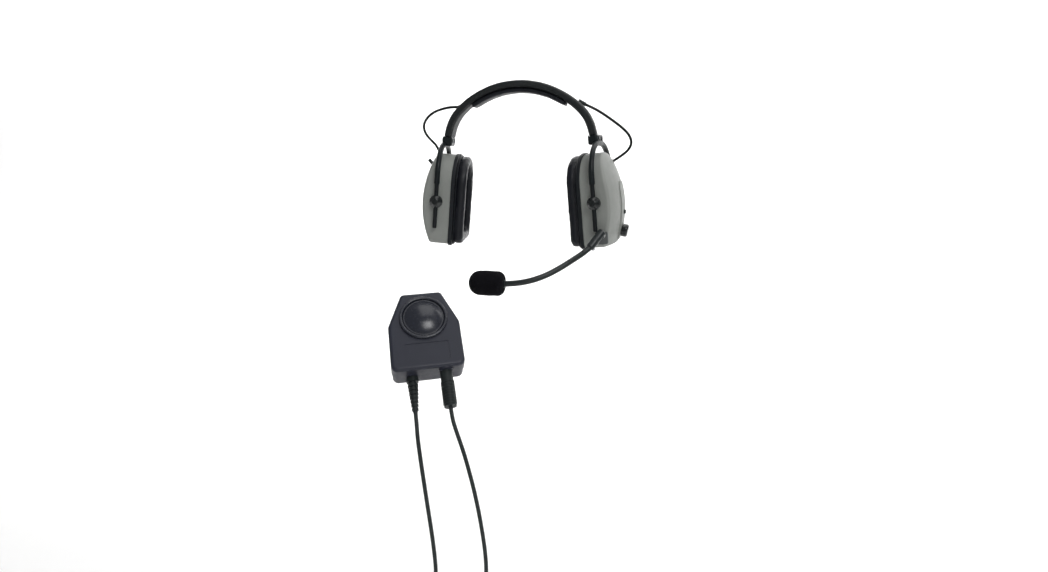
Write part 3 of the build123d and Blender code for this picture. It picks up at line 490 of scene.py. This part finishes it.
def tube_rings(places, radius):
    """Rings of a tube round a line, carried along it without twist."""
    rings = []
    along = (places[1] - places[0]).normalized()
    side = along.orthogonal().normalized()
    for i, place in enumerate(places):
        ahead = places[min(i + 1, len(places) - 1)] - places[max(i - 1, 0)]
        ahead.normalize()
        side = (side - ahead * side.dot(ahead)).normalized()
        other = ahead.cross(side)
        ring = []
        for j in range(TUBE_SIDES):
            angle = 2 * math.pi * j / TUBE_SIDES
            ring.append(place + (side * math.cos(angle) + other * math.sin(angle)) * radius)
        rings.append(ring)
    return rings


LOOP_D = 3.2
LEAD_D = 4.0
LEFT_LOOP = [
    (76.5, 6, 109), (85, 9, 105.5), (95.5, 13, 99.5), (106.5, 17, 92), (117.5, 21, 84),
    (126.5, 24, 75.5), (130, 26, 66), (126, 26, 57.5), (118, 24, 51), (109.5, 21.5, 45.5),
]
RIGHT_LOOP = [
    (-76.5, 6, 109.5), (-87, 9, 110), (-99, 12, 108.5), (-111, 15, 105.5), (-122, 18, 99.5),
    (-129.5, 21, 90), (-128.5, 24, 79.5), (-121.5, 27, 71), (-114.5, 29, 63.5), (-111.5, 29.5, 54),
]


def loop_cable(side, route):
    """The cable from the band to a cup, in two halves that meet near the loop's outermost point."""
    line = curve_line(route)
    middle = len(line) * 11 // 20  # near the loop's outermost point
    halves = (
        ("upper", line[:middle + 1], "headband", f"{side}_slider"),
        ("lower", line[middle:], f"{side}_slider", f"{side}_cup"),
    )
    for part, places, first, second in halves:
        rings = tube_rings(places, LOOP_D / 2 * MM)
        piece = new_piece(f"{side}_loop_{part}", *loft(rings), "cable")
        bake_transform(piece)
        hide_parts(f"{side}_loop_cable")


loop_cable("left", LEFT_LOOP)
loop_cable("right", RIGHT_LOOP)


HANK_FOLD = 13.2  # half the width of a hank's turns, to the cord's middle
HANK_PITCH = LEAD_D * 1.15  # from one turn to the next
HANK_FRONT = 5.6  # how far the first turn lies in front of the lead
HANK_TURNS = ((0.0, 0.0), (1.4, 0.5))  # how much taller and wider than the first one each turn is
LEG_POINTS = (0.12, 0.30, 0.5, 0.70, 0.88)
FOLD_POINTS = 7
RADIO_LEAD = [
    (-56.92, -208.34, -187.94), (-52.95, -215.96, -196.32), (-50.3, -221.5, -206.5), (-47, -225.5, -223),
    (-43.6, -228, -246), (-40, -229.3, -275), (-36.5, -229.5, -308), (-34.5, -229.5, -339),
    (-34.5, -229.5, -362),
]
HEADSET_LEAD = [
    (-24.06, -199.93, -182.17), (-20.09, -207.55, -190.55), (-13.5, -213.8, -202), (-7.3, -217.8, -214.5),
    (-1.8, -220.5, -230), (5.3, -223.3, -255), (11.5, -225, -287), (16, -225.5, -325), (16, -225.5, -362),
]


def hank_turns(x, y, high, low):
    """The turns of a hank: down one side, round the bottom, up the other side and over the top."""
    points = []
    for turn, (taller, wider) in enumerate(HANK_TURNS):
        wide = HANK_FOLD + wider
        for half, (side, start, end) in enumerate(((-1, high, low), (1, low, high))):
            depth = y - HANK_FRONT + HANK_PITCH * (turn + half / 2)
            points += [(x + side * wide, depth, start + (end - start) * leg) for leg in LEG_POINTS]
            for k in range(FOLD_POINTS):
                share = k / (FOLD_POINTS - 1)
                points.append((
                    x + side * wide * math.cos(math.pi * share),
                    depth + HANK_PITCH / 2 * share,
                    end + side * (taller + wide * math.sin(math.pi * share)),
                ))
    return points


def hanging_lead(name, route, plug, lead_node, hank_node):
    """A lead that hangs from the box, is folded into a tied hank, and ends in its plug."""
    x, y, end = route[-1]
    top = end - 8
    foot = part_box(plug)[1].z / MM
    high, low = top - HANK_FOLD - 2.5, foot + HANK_FOLD + 12
    entry = [
        (x - 0.5, y - 1.0, top + 16), (x - 3.5, y - 4.6, top + 6), (x - 8.0, y - 6.8, top - 4),
        (x - 11.6, y - 6.8, top - 13),
    ]
    last_y = y - HANK_FRONT + HANK_PITCH * len(HANK_TURNS)
    out = [
        (x - 12.6, last_y + 0.4, high - 6), (x - 10.8, last_y + 1.2, high - 15),
        (x - 7.4, last_y + 1.6, high - 25), (x - 4.0, last_y + 1.6, high - 35),
        (x - 1.4, last_y + 1.3, low - 8), (x - 0.3, last_y - 0.8, foot + 14),
        (x, y + 0.8, foot + 6), (x, y, foot),
    ]
    points = route[:-1] + entry + hank_turns(x, y, high, low) + out
    cord = nurbs_curve(name, points, LEAD_D / 2)
    cord.data.materials.append(MATERIALS["lead_jacket"])
    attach(cord, "ptt_unit")
    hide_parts(lead_node, hank_node)
    tie = hank_tie(f"{name}_tie", hank_node)
    round(line_length(curve_line(points)), 3)


TIE_WIDE, TIE_DEEP = 16.0, 8.6  # half its width and half its depth
TIE_SECTION = [(0.0, -3.2), (0.75, -2.6), (0.8, 0.0), (0.75, 2.6), (0.0, 3.2), (-0.55, 0.0)]  # (out, up)


def hank_tie(name, hank_node):
    """A soft band round the middle of a hank."""
    low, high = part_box(hank_node)
    middle = (low + high) / 2 / MM
    rings = []
    around = 40
    for i in range(around):
        angle = 2 * math.pi * i / around
        across, deep = superellipse(angle, 0.55)
        normal = Vector((math.cos(angle) / TIE_WIDE, math.sin(angle) / TIE_DEEP, 0)).normalized()
        sag = 0.25 * math.sin(3 * angle)
        rings.append([
            (middle + Vector((TIE_WIDE * across, TIE_DEEP * deep, sag + up)) + normal * out) * MM
            for out, up in TIE_SECTION
        ])
    piece = new_piece(name, *loft(rings, closed_along=True, caps=False), "relief")
    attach(piece, "ptt_unit")
    return piece


hanging_lead("radio_cord", RADIO_LEAD, "radio_plug", "radio_lead", "radio_lead_hank")
hanging_lead("headset_cord", HEADSET_LEAD, "headset_plug", "headset_lead", "headset_lead_hank")


# --- Headband -------------------------------------------------------------------------------------

CROWN_Z, CROWN_R, CROWN_ARC = 137.0, 110.0, math.radians(42.0)
SHOULDER_R, SHOULDER_ARC, COVER_ARM = 55.0, math.radians(32.0), 8.0
COVER_THICK, COVER_WIDTH = 9.3, 23.0
PAD_THICK, PAD_WIDTH, PAD_ARC = 6.0, 25.0, math.radians(35.0)
HALF_BAND = CROWN_R * CROWN_ARC + SHOULDER_R * SHOULDER_ARC + COVER_ARM
BAND_SEAM = 8.9  # from the band's middle to each row of stitches
STITCH_PITCH, STITCH_LONG, STITCH_THICK = 3.4, 2.1, 0.42
STITCH_REACH = 0.70  # of half the cover's thickness, where the seam pulls it in
SLEEVE_WRAP_R = 9.0  # the radius of a round tube that takes as much braid as the sleeve
PAD_SEAM, PAD_PUCKER = 9.6, 4.2
PAD_SLIM, PAD_NARROW = 0.86, 0.7  # its share of thickness and the width left off each side before it swells


def band_point(s):
    """The band's outer edge at a length s from the crown, and the direction out of it."""
    side = -1 if s < 0 else 1
    s = abs(s)
    turned = min(s / CROWN_R, CROWN_ARC)
    centre = Vector((0, CROWN_Z - CROWN_R))
    out = Vector((math.sin(turned), math.cos(turned)))
    point = centre + out * CROWN_R
    s -= CROWN_R * CROWN_ARC
    if s > 0:
        centre = point - out * SHOULDER_R
        turned = CROWN_ARC + min(s / SHOULDER_R, SHOULDER_ARC)
        out = Vector((math.sin(turned), math.cos(turned)))
        point = centre + out * SHOULDER_R
        s -= SHOULDER_R * SHOULDER_ARC
        if s > 0:
            point = point + Vector((out.y, -out.x)) * s
    return Vector((side * point.x, 0, point.y)), Vector((side * out.x, 0, out.y))


def band_sleeve():
    """The braided sleeve over the band's spring, sewn along both edges."""
    sections, around = 150, 56
    rings, uvs = [], []
    for i in range(sections + 1):
        s = (2 * i / sections - 1) * HALF_BAND
        edge, out = band_point(s)
        middle = edge - out * COVER_THICK / 2
        ring, row = [], []
        end = min(1.0, (HALF_BAND - abs(s)) / 3 + 0.82)
        for j in range(around):
            across, thick = superellipse(2 * math.pi * j / around, 0.52)
            y = across * COVER_WIDTH / 2 * end
            t = thick * COVER_THICK / 2 * end
            seam = math.exp(-((abs(y) - BAND_SEAM) / 0.7) ** 2)
            pucker = 0.5 + 0.5 * math.cos(s * 2 * math.pi / STITCH_PITCH)
            t *= 1 - seam * (0.16 + 0.07 * pucker)
            t += 0.18 * noise.noise(Vector((s * 0.09, y * 0.2, 1.7))) * (1 if thick > 0 else -1)
            ring.append((middle + Vector((0, y, 0)) + out * t) * MM)
            row.append((s, 2 * math.pi * j / around * SLEEVE_WRAP_R))
        rings.append(ring)
        uvs.append(row)
    piece = new_piece("band_sleeve", *loft(rings), "band_cover")
    layer = piece.data.uv_layers.new(name="UVMap")
    flat = [uv for row in uvs for uv in row]
    whole_turn = 2 * math.pi * SLEEVE_WRAP_R
    for face in piece.data.polygons:
        seen = [flat[piece.data.loops[k].vertex_index] for k in face.loop_indices]
        highest = max(v for _, v in seen)
        for k, (u, v) in zip(face.loop_indices, seen):
            is_over_the_join = highest - v > whole_turn / 2
            layer.data[k].uv = (u, v + (whole_turn if is_over_the_join else 0))
    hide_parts("band_cover")
    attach(piece, "headband")


STITCH_SECTIONS = ((-0.5, 0.25), (-0.3, 0.9), (0, 1.1), (0.3, 0.9), (0.5, 0.25))  # (along, thickness)
STITCH_SIDES = 6


def stitches(name, spots, slot, body):
    """A row of thread, each stitch a small spindle laid along the seam."""
    verts, faces = [], []
    for place, along, out in spots:
        side = along.cross(out).normalized()
        rings = []
        for share, fat in STITCH_SECTIONS:
            ring = []
            for k in range(STITCH_SIDES):
                angle = 2 * math.pi * k / STITCH_SIDES
                offset = (side * math.cos(angle) + out * math.sin(angle)) * STITCH_THICK * fat / 2
                ring.append((place + along * STITCH_LONG * share + offset + out * 0.12 * fat) * MM)
            rings.append(ring)
        base = len(verts)
        stitch_verts, stitch_faces = loft(rings)
        verts += stitch_verts
        faces += [tuple(base + k for k in face) for face in stitch_faces]
    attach(new_piece(name, verts, faces, slot), body)


def band_stitching():
    """Two rows of stitches on the band's outside, and inside where the pad leaves it bare."""
    spots = []
    count = int(2 * (HALF_BAND - 4) / STITCH_PITCH)
    for row in (-BAND_SEAM, BAND_SEAM):
        for face in (1, -1):
            for i in range(count):
                s = (i - (count - 1) / 2) * STITCH_PITCH
                if face < 0 and abs(s) < CROWN_R * PAD_ARC + 3:
                    continue
                edge, out = band_point(s)
                along = (band_point(s + 0.5)[0] - band_point(s - 0.5)[0]).normalized()
                reach = COVER_THICK / 2 * STITCH_REACH
                place = edge - out * COVER_THICK / 2 + out * face * reach + Vector((0, row, 0))
                spots.append((place, along, out * face))
    stitches("band_stitching", spots, "band_pad", "headband")


def crown_pad():
    """The soft pad under the crown: a strip blown up as cloth, then sewn along its edges."""
    sections, around = 60, 32
    rings = []
    reach = CROWN_R * PAD_ARC
    for i in range(sections + 1):
        s = (2 * i / sections - 1) * reach
        edge, out = band_point(s)
        from_end = reach - abs(s)
        blunt = min(1.0, 0.55 + 0.45 * math.sqrt(min(from_end / 7, 1)))
        ring = []
        for j in range(around):
            across, thick = superellipse(2 * math.pi * j / around, 0.45)
            depth = PAD_THICK * PAD_SLIM * blunt
            y = across * (PAD_WIDTH / 2 - PAD_NARROW) * (0.93 + 0.07 * blunt)
            t = -COVER_THICK + 0.5 - depth / 2 + thick * depth / 2
            ring.append((edge + out * t + Vector((0, y, 0))) * MM)
        rings.append(ring)
    piece = new_piece("crown_pad", *loft(rings), "band_pad")
    remesh(piece)
    centre = Vector((0, 0, (CROWN_Z - CROWN_R) * MM))
    held_radius = (CROWN_R - COVER_THICK - 1.0) * MM
    inflate(piece, lambda co: (Vector((co.x, 0, co.z)) - centre).length > held_radius, 3.0)
    subdivide(piece)
    for vertex in piece.data.vertices:
        co = vertex.co
        from_centre = Vector((co.x, 0, co.z - (CROWN_Z - CROWN_R) * MM))
        radius = from_centre.length / MM
        s = math.atan2(co.x, from_centre.z) * CROWN_R
        y = co.y / MM
        seam = math.exp(-((abs(y) - PAD_SEAM) / 0.8) ** 2)
        under = max(0.0, min(1.0, (CROWN_R - COVER_THICK - 4 - radius) / 2))
        pull = seam * under * (0.75 + 0.25 * math.cos(s * 2 * math.pi / PAD_PUCKER))
        crease = 0.28 * noise.noise(Vector((s * 0.16, y * 0.08, 4.0)))
        vertex.co = co + from_centre.normalized() * (pull * 0.8 + crease * under) * MM
    tidy(piece)
    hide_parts("headband_pad")
    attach(piece, "headband")


band_sleeve()
band_stitching()
crown_pad()


# --- Ear cups -------------------------------------------------------------------------------------

CUP_HALF, CUP_TOP, CUP_BOTTOM, CUP_CORNER = 36.0, 55.5, -51.0, 6.5
CUP_IN, PLATE_THICK, CUSHION_THICK, EAR_INSET = -16.0, 4.5, 14.0, 13.0
WALL, LINER_THICK, SPEAKER_R, SPEAKER_UP = 2.4, 9.0, 20.0, 2.0
LINER_GAP, LINER_WAVE = 0.8, 7.0
CUSHION_SEAM, CUSHION_PUCKERS = 3.4, 92
CUSHION_NARROW, CUSHION_SLIM = 1.1, 1.4  # left off each side and off its depth before it swells
PIPING_R, PIPING_SIDES = 0.85, 10
LEFT_FRAME = (
    Matrix.Translation((0.1, 0, 0)) @ Matrix.Rotation(math.radians(-10), 4, "Z")
    @ Matrix.Rotation(math.radians(-5.5), 4, "Y")
)


def in_side(side, point_mm):
    """A point of the shared frame, given in millimetres outwards, back and up in a cup's own frame."""
    place = LEFT_FRAME @ (Vector(point_mm) * MM)
    return place if side == "left" else Vector((-place.x, place.y, place.z))


def arc_points(y, z, radius, first, last, count):
    """Points of an arc between two bearings in degrees, with the direction out of it."""
    points = []
    for k in range(count):
        angle = math.radians(first + (last - first) * k / (count - 1))
        c, s = math.cos(angle), math.sin(angle)
        points.append((y + radius * c, z + radius * s, c, s))
    return points


def side_points(start, end, out, count):
    """The inner points of a straight side cut into so many steps, with the direction out of it."""
    points = []
    for k in range(1, count):
        share = k / count
        points.append((
            start[0] + (end[0] - start[0]) * share, start[1] + (end[1] - start[1]) * share, *out,
        ))
    return points


def outline(inset, count):
    """Evenly spaced points round the cup's D-shaped outline, with the direction out of it."""
    half, low = CUP_HALF - inset, CUP_BOTTOM + inset
    corner = max(CUP_CORNER - inset * 0.6, 1.0)
    round_z = CUP_TOP - CUP_HALF
    flat, foot = half - corner, low + corner
    dense = (
        arc_points(0, round_z, half, 0, 180, 181)
        + side_points((-half, round_z), (-half, foot), (-1, 0), 60)
        + arc_points(-flat, foot, corner, 180, 270, 41)
        + side_points((-flat, low), (flat, low), (0, -1), 40)
        + arc_points(flat, foot, corner, 270, 360, 41)
        + side_points((half, foot), (half, round_z), (1, 0), 60)
    )
    lengths = [0.0]
    closed = dense + dense[:1]
    for a, b in zip(closed, closed[1:]):
        lengths.append(lengths[-1] + math.hypot(b[0] - a[0], b[1] - a[1]))
    found, at = [], 0
    for i in range(count):
        target = lengths[-1] * i / count
        while lengths[at + 1] < target:
            at += 1
        share = (target - lengths[at]) / max(lengths[at + 1] - lengths[at], 1e-9)
        found.append(tuple(a + (b - a) * share for a, b in zip(closed[at], closed[at + 1])))
    return found


def ear_cushion(side):
    """The ring cushion: a D-shaped tube of vinyl, blown up as cloth and sewn at both edges."""
    base_x = CUP_IN - PLATE_THICK - 0.3
    rings = []
    around = 28
    middle_inset = EAR_INSET / 2
    for y, z, out_y, out_z in outline(middle_inset, 160):
        ring = []
        for j in range(around):
            across, deep = superellipse(2 * math.pi * j / around, 0.62)
            reach = across * (EAR_INSET / 2 - CUSHION_NARROW)
            depth = base_x - (CUSHION_THICK - CUSHION_SLIM) / 2 * (1 + deep)
            ring.append(in_side(side, (depth, y + out_y * reach, z + out_z * reach)))
        rings.append(ring)
    piece = new_piece(f"{side}_ear_cushion", *loft(rings, closed_along=True, caps=False), "cushion")
    inverse = LEFT_FRAME.inverted()

    def to_side(co):
        return inverse @ (co if side == "left" else Vector((-co.x, co.y, co.z))) / MM

    remesh(piece)
    inflate(piece, lambda co: to_side(co).x > base_x - 1.8, 4.0)
    subdivide(piece)
    line = outline(middle_inset, 240)
    for vertex in piece.data.vertices:
        local = to_side(vertex.co)
        nearest = min(line, key=lambda p: (p[0] - local.y) ** 2 + (p[1] - local.z) ** 2)
        along = line.index(nearest) / len(line)
        from_middle = (local.y - nearest[0]) * nearest[2] + (local.z - nearest[1]) * nearest[3]
        deep = base_x - local.x
        seam = math.exp(-((deep - CUSHION_SEAM) / 0.75) ** 2) * (1 if abs(from_middle) > 3.2 else 0)
        ridge = 0.5 + 0.5 * math.cos(along * 2 * math.pi * CUSHION_PUCKERS)
        wrinkle = noise.noise(Vector((along * 46, from_middle * 0.18, deep * 0.12)))
        inward = math.copysign(1, from_middle) * (seam * (0.55 + 0.3 * ridge))
        face = max(0.0, min(1.0, (deep - 6) / 5))
        push = Vector((wrinkle * 0.30 * face, -inward * nearest[2], -inward * nearest[3]))
        vertex.co = in_side(side, local + push)
    tidy(piece)
    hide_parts(f"{side}_cushion")
    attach(piece, f"{side}_cup")


def edge_piping(side):
    """The sewn bead where the cushion's skin turns under, beside the base plate."""
    rings = []
    for y, z, out_y, out_z in outline(0.9, 200):
        ring = []
        for j in range(PIPING_SIDES):
            angle = 2 * math.pi * j / PIPING_SIDES
            reach = PIPING_R * math.cos(angle)
            depth = CUP_IN - PLATE_THICK - 1.25 + PIPING_R * math.sin(angle)
            ring.append(in_side(side, (depth, y + out_y * reach, z + out_z * reach)))
        rings.append(ring)
    piece = new_piece(f"{side}_cushion_piping", *loft(rings, closed_along=True, caps=False), "cushion")
    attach(piece, f"{side}_cup")


LINER_SHARES = (0, 0.08, 0.2, 0.35, 0.5, 0.65, 0.8, 0.92, 1.0)  # from the speaker out to the wall


def foam_liner(side):
    """Egg-crate foam round the speaker, thick enough to fill the cup's mouth."""
    front = CUP_IN + 2.0
    back = front + LINER_THICK - 0.1
    hole = SPEAKER_R + 0.3
    rings = []
    for y, z, _, _ in outline(WALL + LINER_GAP, 150):
        bearing = math.atan2(z - SPEAKER_UP, y)
        inner = Vector((hole * math.cos(bearing), SPEAKER_UP + hole * math.sin(bearing)))
        across = Vector((y, z)) - inner
        ring = []
        for share in LINER_SHARES:
            at = inner + across * share
            rim = min(share, 1 - share) / LINER_SHARES[1]
            waves = math.cos(at.x * 2 * math.pi / LINER_WAVE) * math.cos(at.y * 2 * math.pi / LINER_WAVE)
            drop = 0.9 * (1 - min(rim, 1)) + 0.55 * (1 - waves)
            ring.append(in_side(side, (front + drop, *at)))
        ring += [in_side(side, (back, *(inner + across * share))) for share in (1.0, 0.5, 0.0)]
        rings.append(ring)
    piece = new_piece(f"{side}_liner", *loft(rings, closed_along=True, caps=False), "foam")
    subdivide(piece)
    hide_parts(f"{side}_foam_liner")
    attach(piece, f"{side}_cup")


for cup_side in ("left", "right"):
    ear_cushion(cup_side)
    edge_piping(cup_side)
    foam_liner(cup_side)


# --- Boom -----------------------------------------------------------------------------------------

BORE_R = 4.6  # the hole that the microphone sits in
NOSE_LONG, TAIL_ROUND = 12.5, 7.5  # the lengths of its blunt free end and of its rounded back edge


def windscreen():
    """The foam ball over the microphone: a blunt capsule with a pitted, slightly uneven skin."""
    low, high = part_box("windscreen")
    centre = (low + high) / 2
    half, radius = (high.x - low.x) / 2 / MM, (high.z - low.z) / 2 / MM
    profile = []  # (along, radius)
    for k in range(13):
        angle = math.radians(90 * k / 12)
        profile.append((-half + NOSE_LONG * (1 - math.cos(angle)), radius * math.sin(angle) ** 0.92))
    straight = 2 * half - NOSE_LONG - TAIL_ROUND
    for k in range(1, 12):
        share = k / 12
        swell = 1 + 0.012 * math.sin(math.pi * share)
        profile.append((-half + NOSE_LONG + straight * share, radius * swell))
    for k in range(9):
        angle = math.radians(90 * k / 8)
        out = radius - TAIL_ROUND * (1 - math.cos(angle))
        profile.append((half - TAIL_ROUND + TAIL_ROUND * math.sin(angle), out))
    profile += [(half - 0.6, BORE_R + 1.2), (half - 1.4, BORE_R), (half - 6, BORE_R)]
    around = 72
    rings = []
    for along, out in profile:
        out = max(out, 0.1)
        ring = []
        for j in range(around):
            angle = 2 * math.pi * j / around
            ring.append(centre + Vector((along, out * math.cos(angle), out * math.sin(angle))) * MM)
        rings.append(ring)
    piece = new_piece("foam_windscreen", *loft(rings), "windscreen")
    subdivide(piece)
    for vertex in piece.data.vertices:
        away = vertex.co - centre
        place = vertex.co / MM
        lumps = 0.30 * noise.noise(place * 0.13) + 0.16 * noise.noise(place * 0.9)
        vertex.co = vertex.co + away.normalized() * lumps * MM
    tidy(piece)
    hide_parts("windscreen")
    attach(piece, "boom")


windscreen()


# --- Surroundings and light -----------------------------------------------------------------------

FLOOR_FRONT, BEND_FRONT, BEND_R, WALL_TOP = -2.5, 1.0, 0.8, 3.5  # metres
FLOOR_DROP = 0.06  # metres from the lowest point of the object down to the floor
STAGE_COLUMNS = (-4.0, -1.0, 1.0, 4.0)  # metres


def surroundings():
    """A pale floor that rises into a pale wall far behind."""
    profile = [(FLOOR_FRONT, 0.0), (BEND_FRONT, 0.0)]
    for k in range(1, 13):
        angle = math.radians(90 * k / 12)
        profile.append((BEND_FRONT + BEND_R * math.sin(angle), BEND_R * (1 - math.cos(angle))))
    profile.append((BEND_FRONT + BEND_R, WALL_TOP))
    floor_z = CAD_BOX[0][2] - FLOOR_DROP
    rings = [[Vector((x, y, floor_z + z)) for x in STAGE_COLUMNS] for y, z in profile]
    verts, faces = loft(rings, closed_round=False, caps=False)
    data = bpy.data.meshes.new("studio_floor")
    data.from_pydata([tuple(v) for v in verts], [], faces)
    stage = bpy.data.objects.new("studio_floor", data)
    scene.collection.objects.link(stage)
    shade_smooth(data)
    s = Shader("studio_paint")
    where = s.place("Object")
    cloud = s.noise(where, 0.002, 2)
    data.materials.append(s.finish(
        s.tint(cloud, (0.90, 0.90, 0.90), (0.94, 0.94, 0.935)), s.spread(cloud, 0.85, 0.95),
    ))


def area_light(name, place, aim, size, power):
    """A rectangular white light at a place, turned to what it aims at."""
    data = bpy.data.lights.new(name, "AREA")
    data.shape = "RECTANGLE"
    data.size, data.size_y = size
    data.energy = power
    light = bpy.data.objects.new(name, data)
    scene.collection.objects.link(light)
    light.location = place
    light.rotation_euler = (Vector(aim) - Vector(place)).to_track_quat("-Z", "Y").to_euler()


def room_light():
    """An even white glow from all round."""
    world = bpy.data.worlds.new("studio")
    world.use_nodes = True
    glow = world.node_tree.nodes["Background"]
    glow.inputs["Color"].default_value = (1, 1, 1, 1)
    glow.inputs["Strength"].default_value = 0.28
    scene.world = world


surroundings()
area_light("key", (0.85, -1.1, 1.0), (0, 0, 0.0), (0.8, 0.6), 15)
area_light("top", (0.15, 0.1, 1.4), (0, 0, 0), (1.2, 1.0), 7)
area_light("fill", (-1.2, -0.9, 0.3), (0, 0, 0), (0.6, 0.8), 0.5)
area_light("low", (0.3, -1.3, -0.35), (0, -0.1, -0.15), (0.7, 0.4), 1.3)
area_light("backdrop_left", (-1.7, 0.75, 1.3), (-2.0, 2.2, 0.2), (2.2, 0.8), 52)
area_light("backdrop_right", (1.0, 0.75, 1.3), (1.0, 2.2, 0.0), (1.8, 0.8), 40)
room_light()
scene.view_settings.view_transform = "Standard"
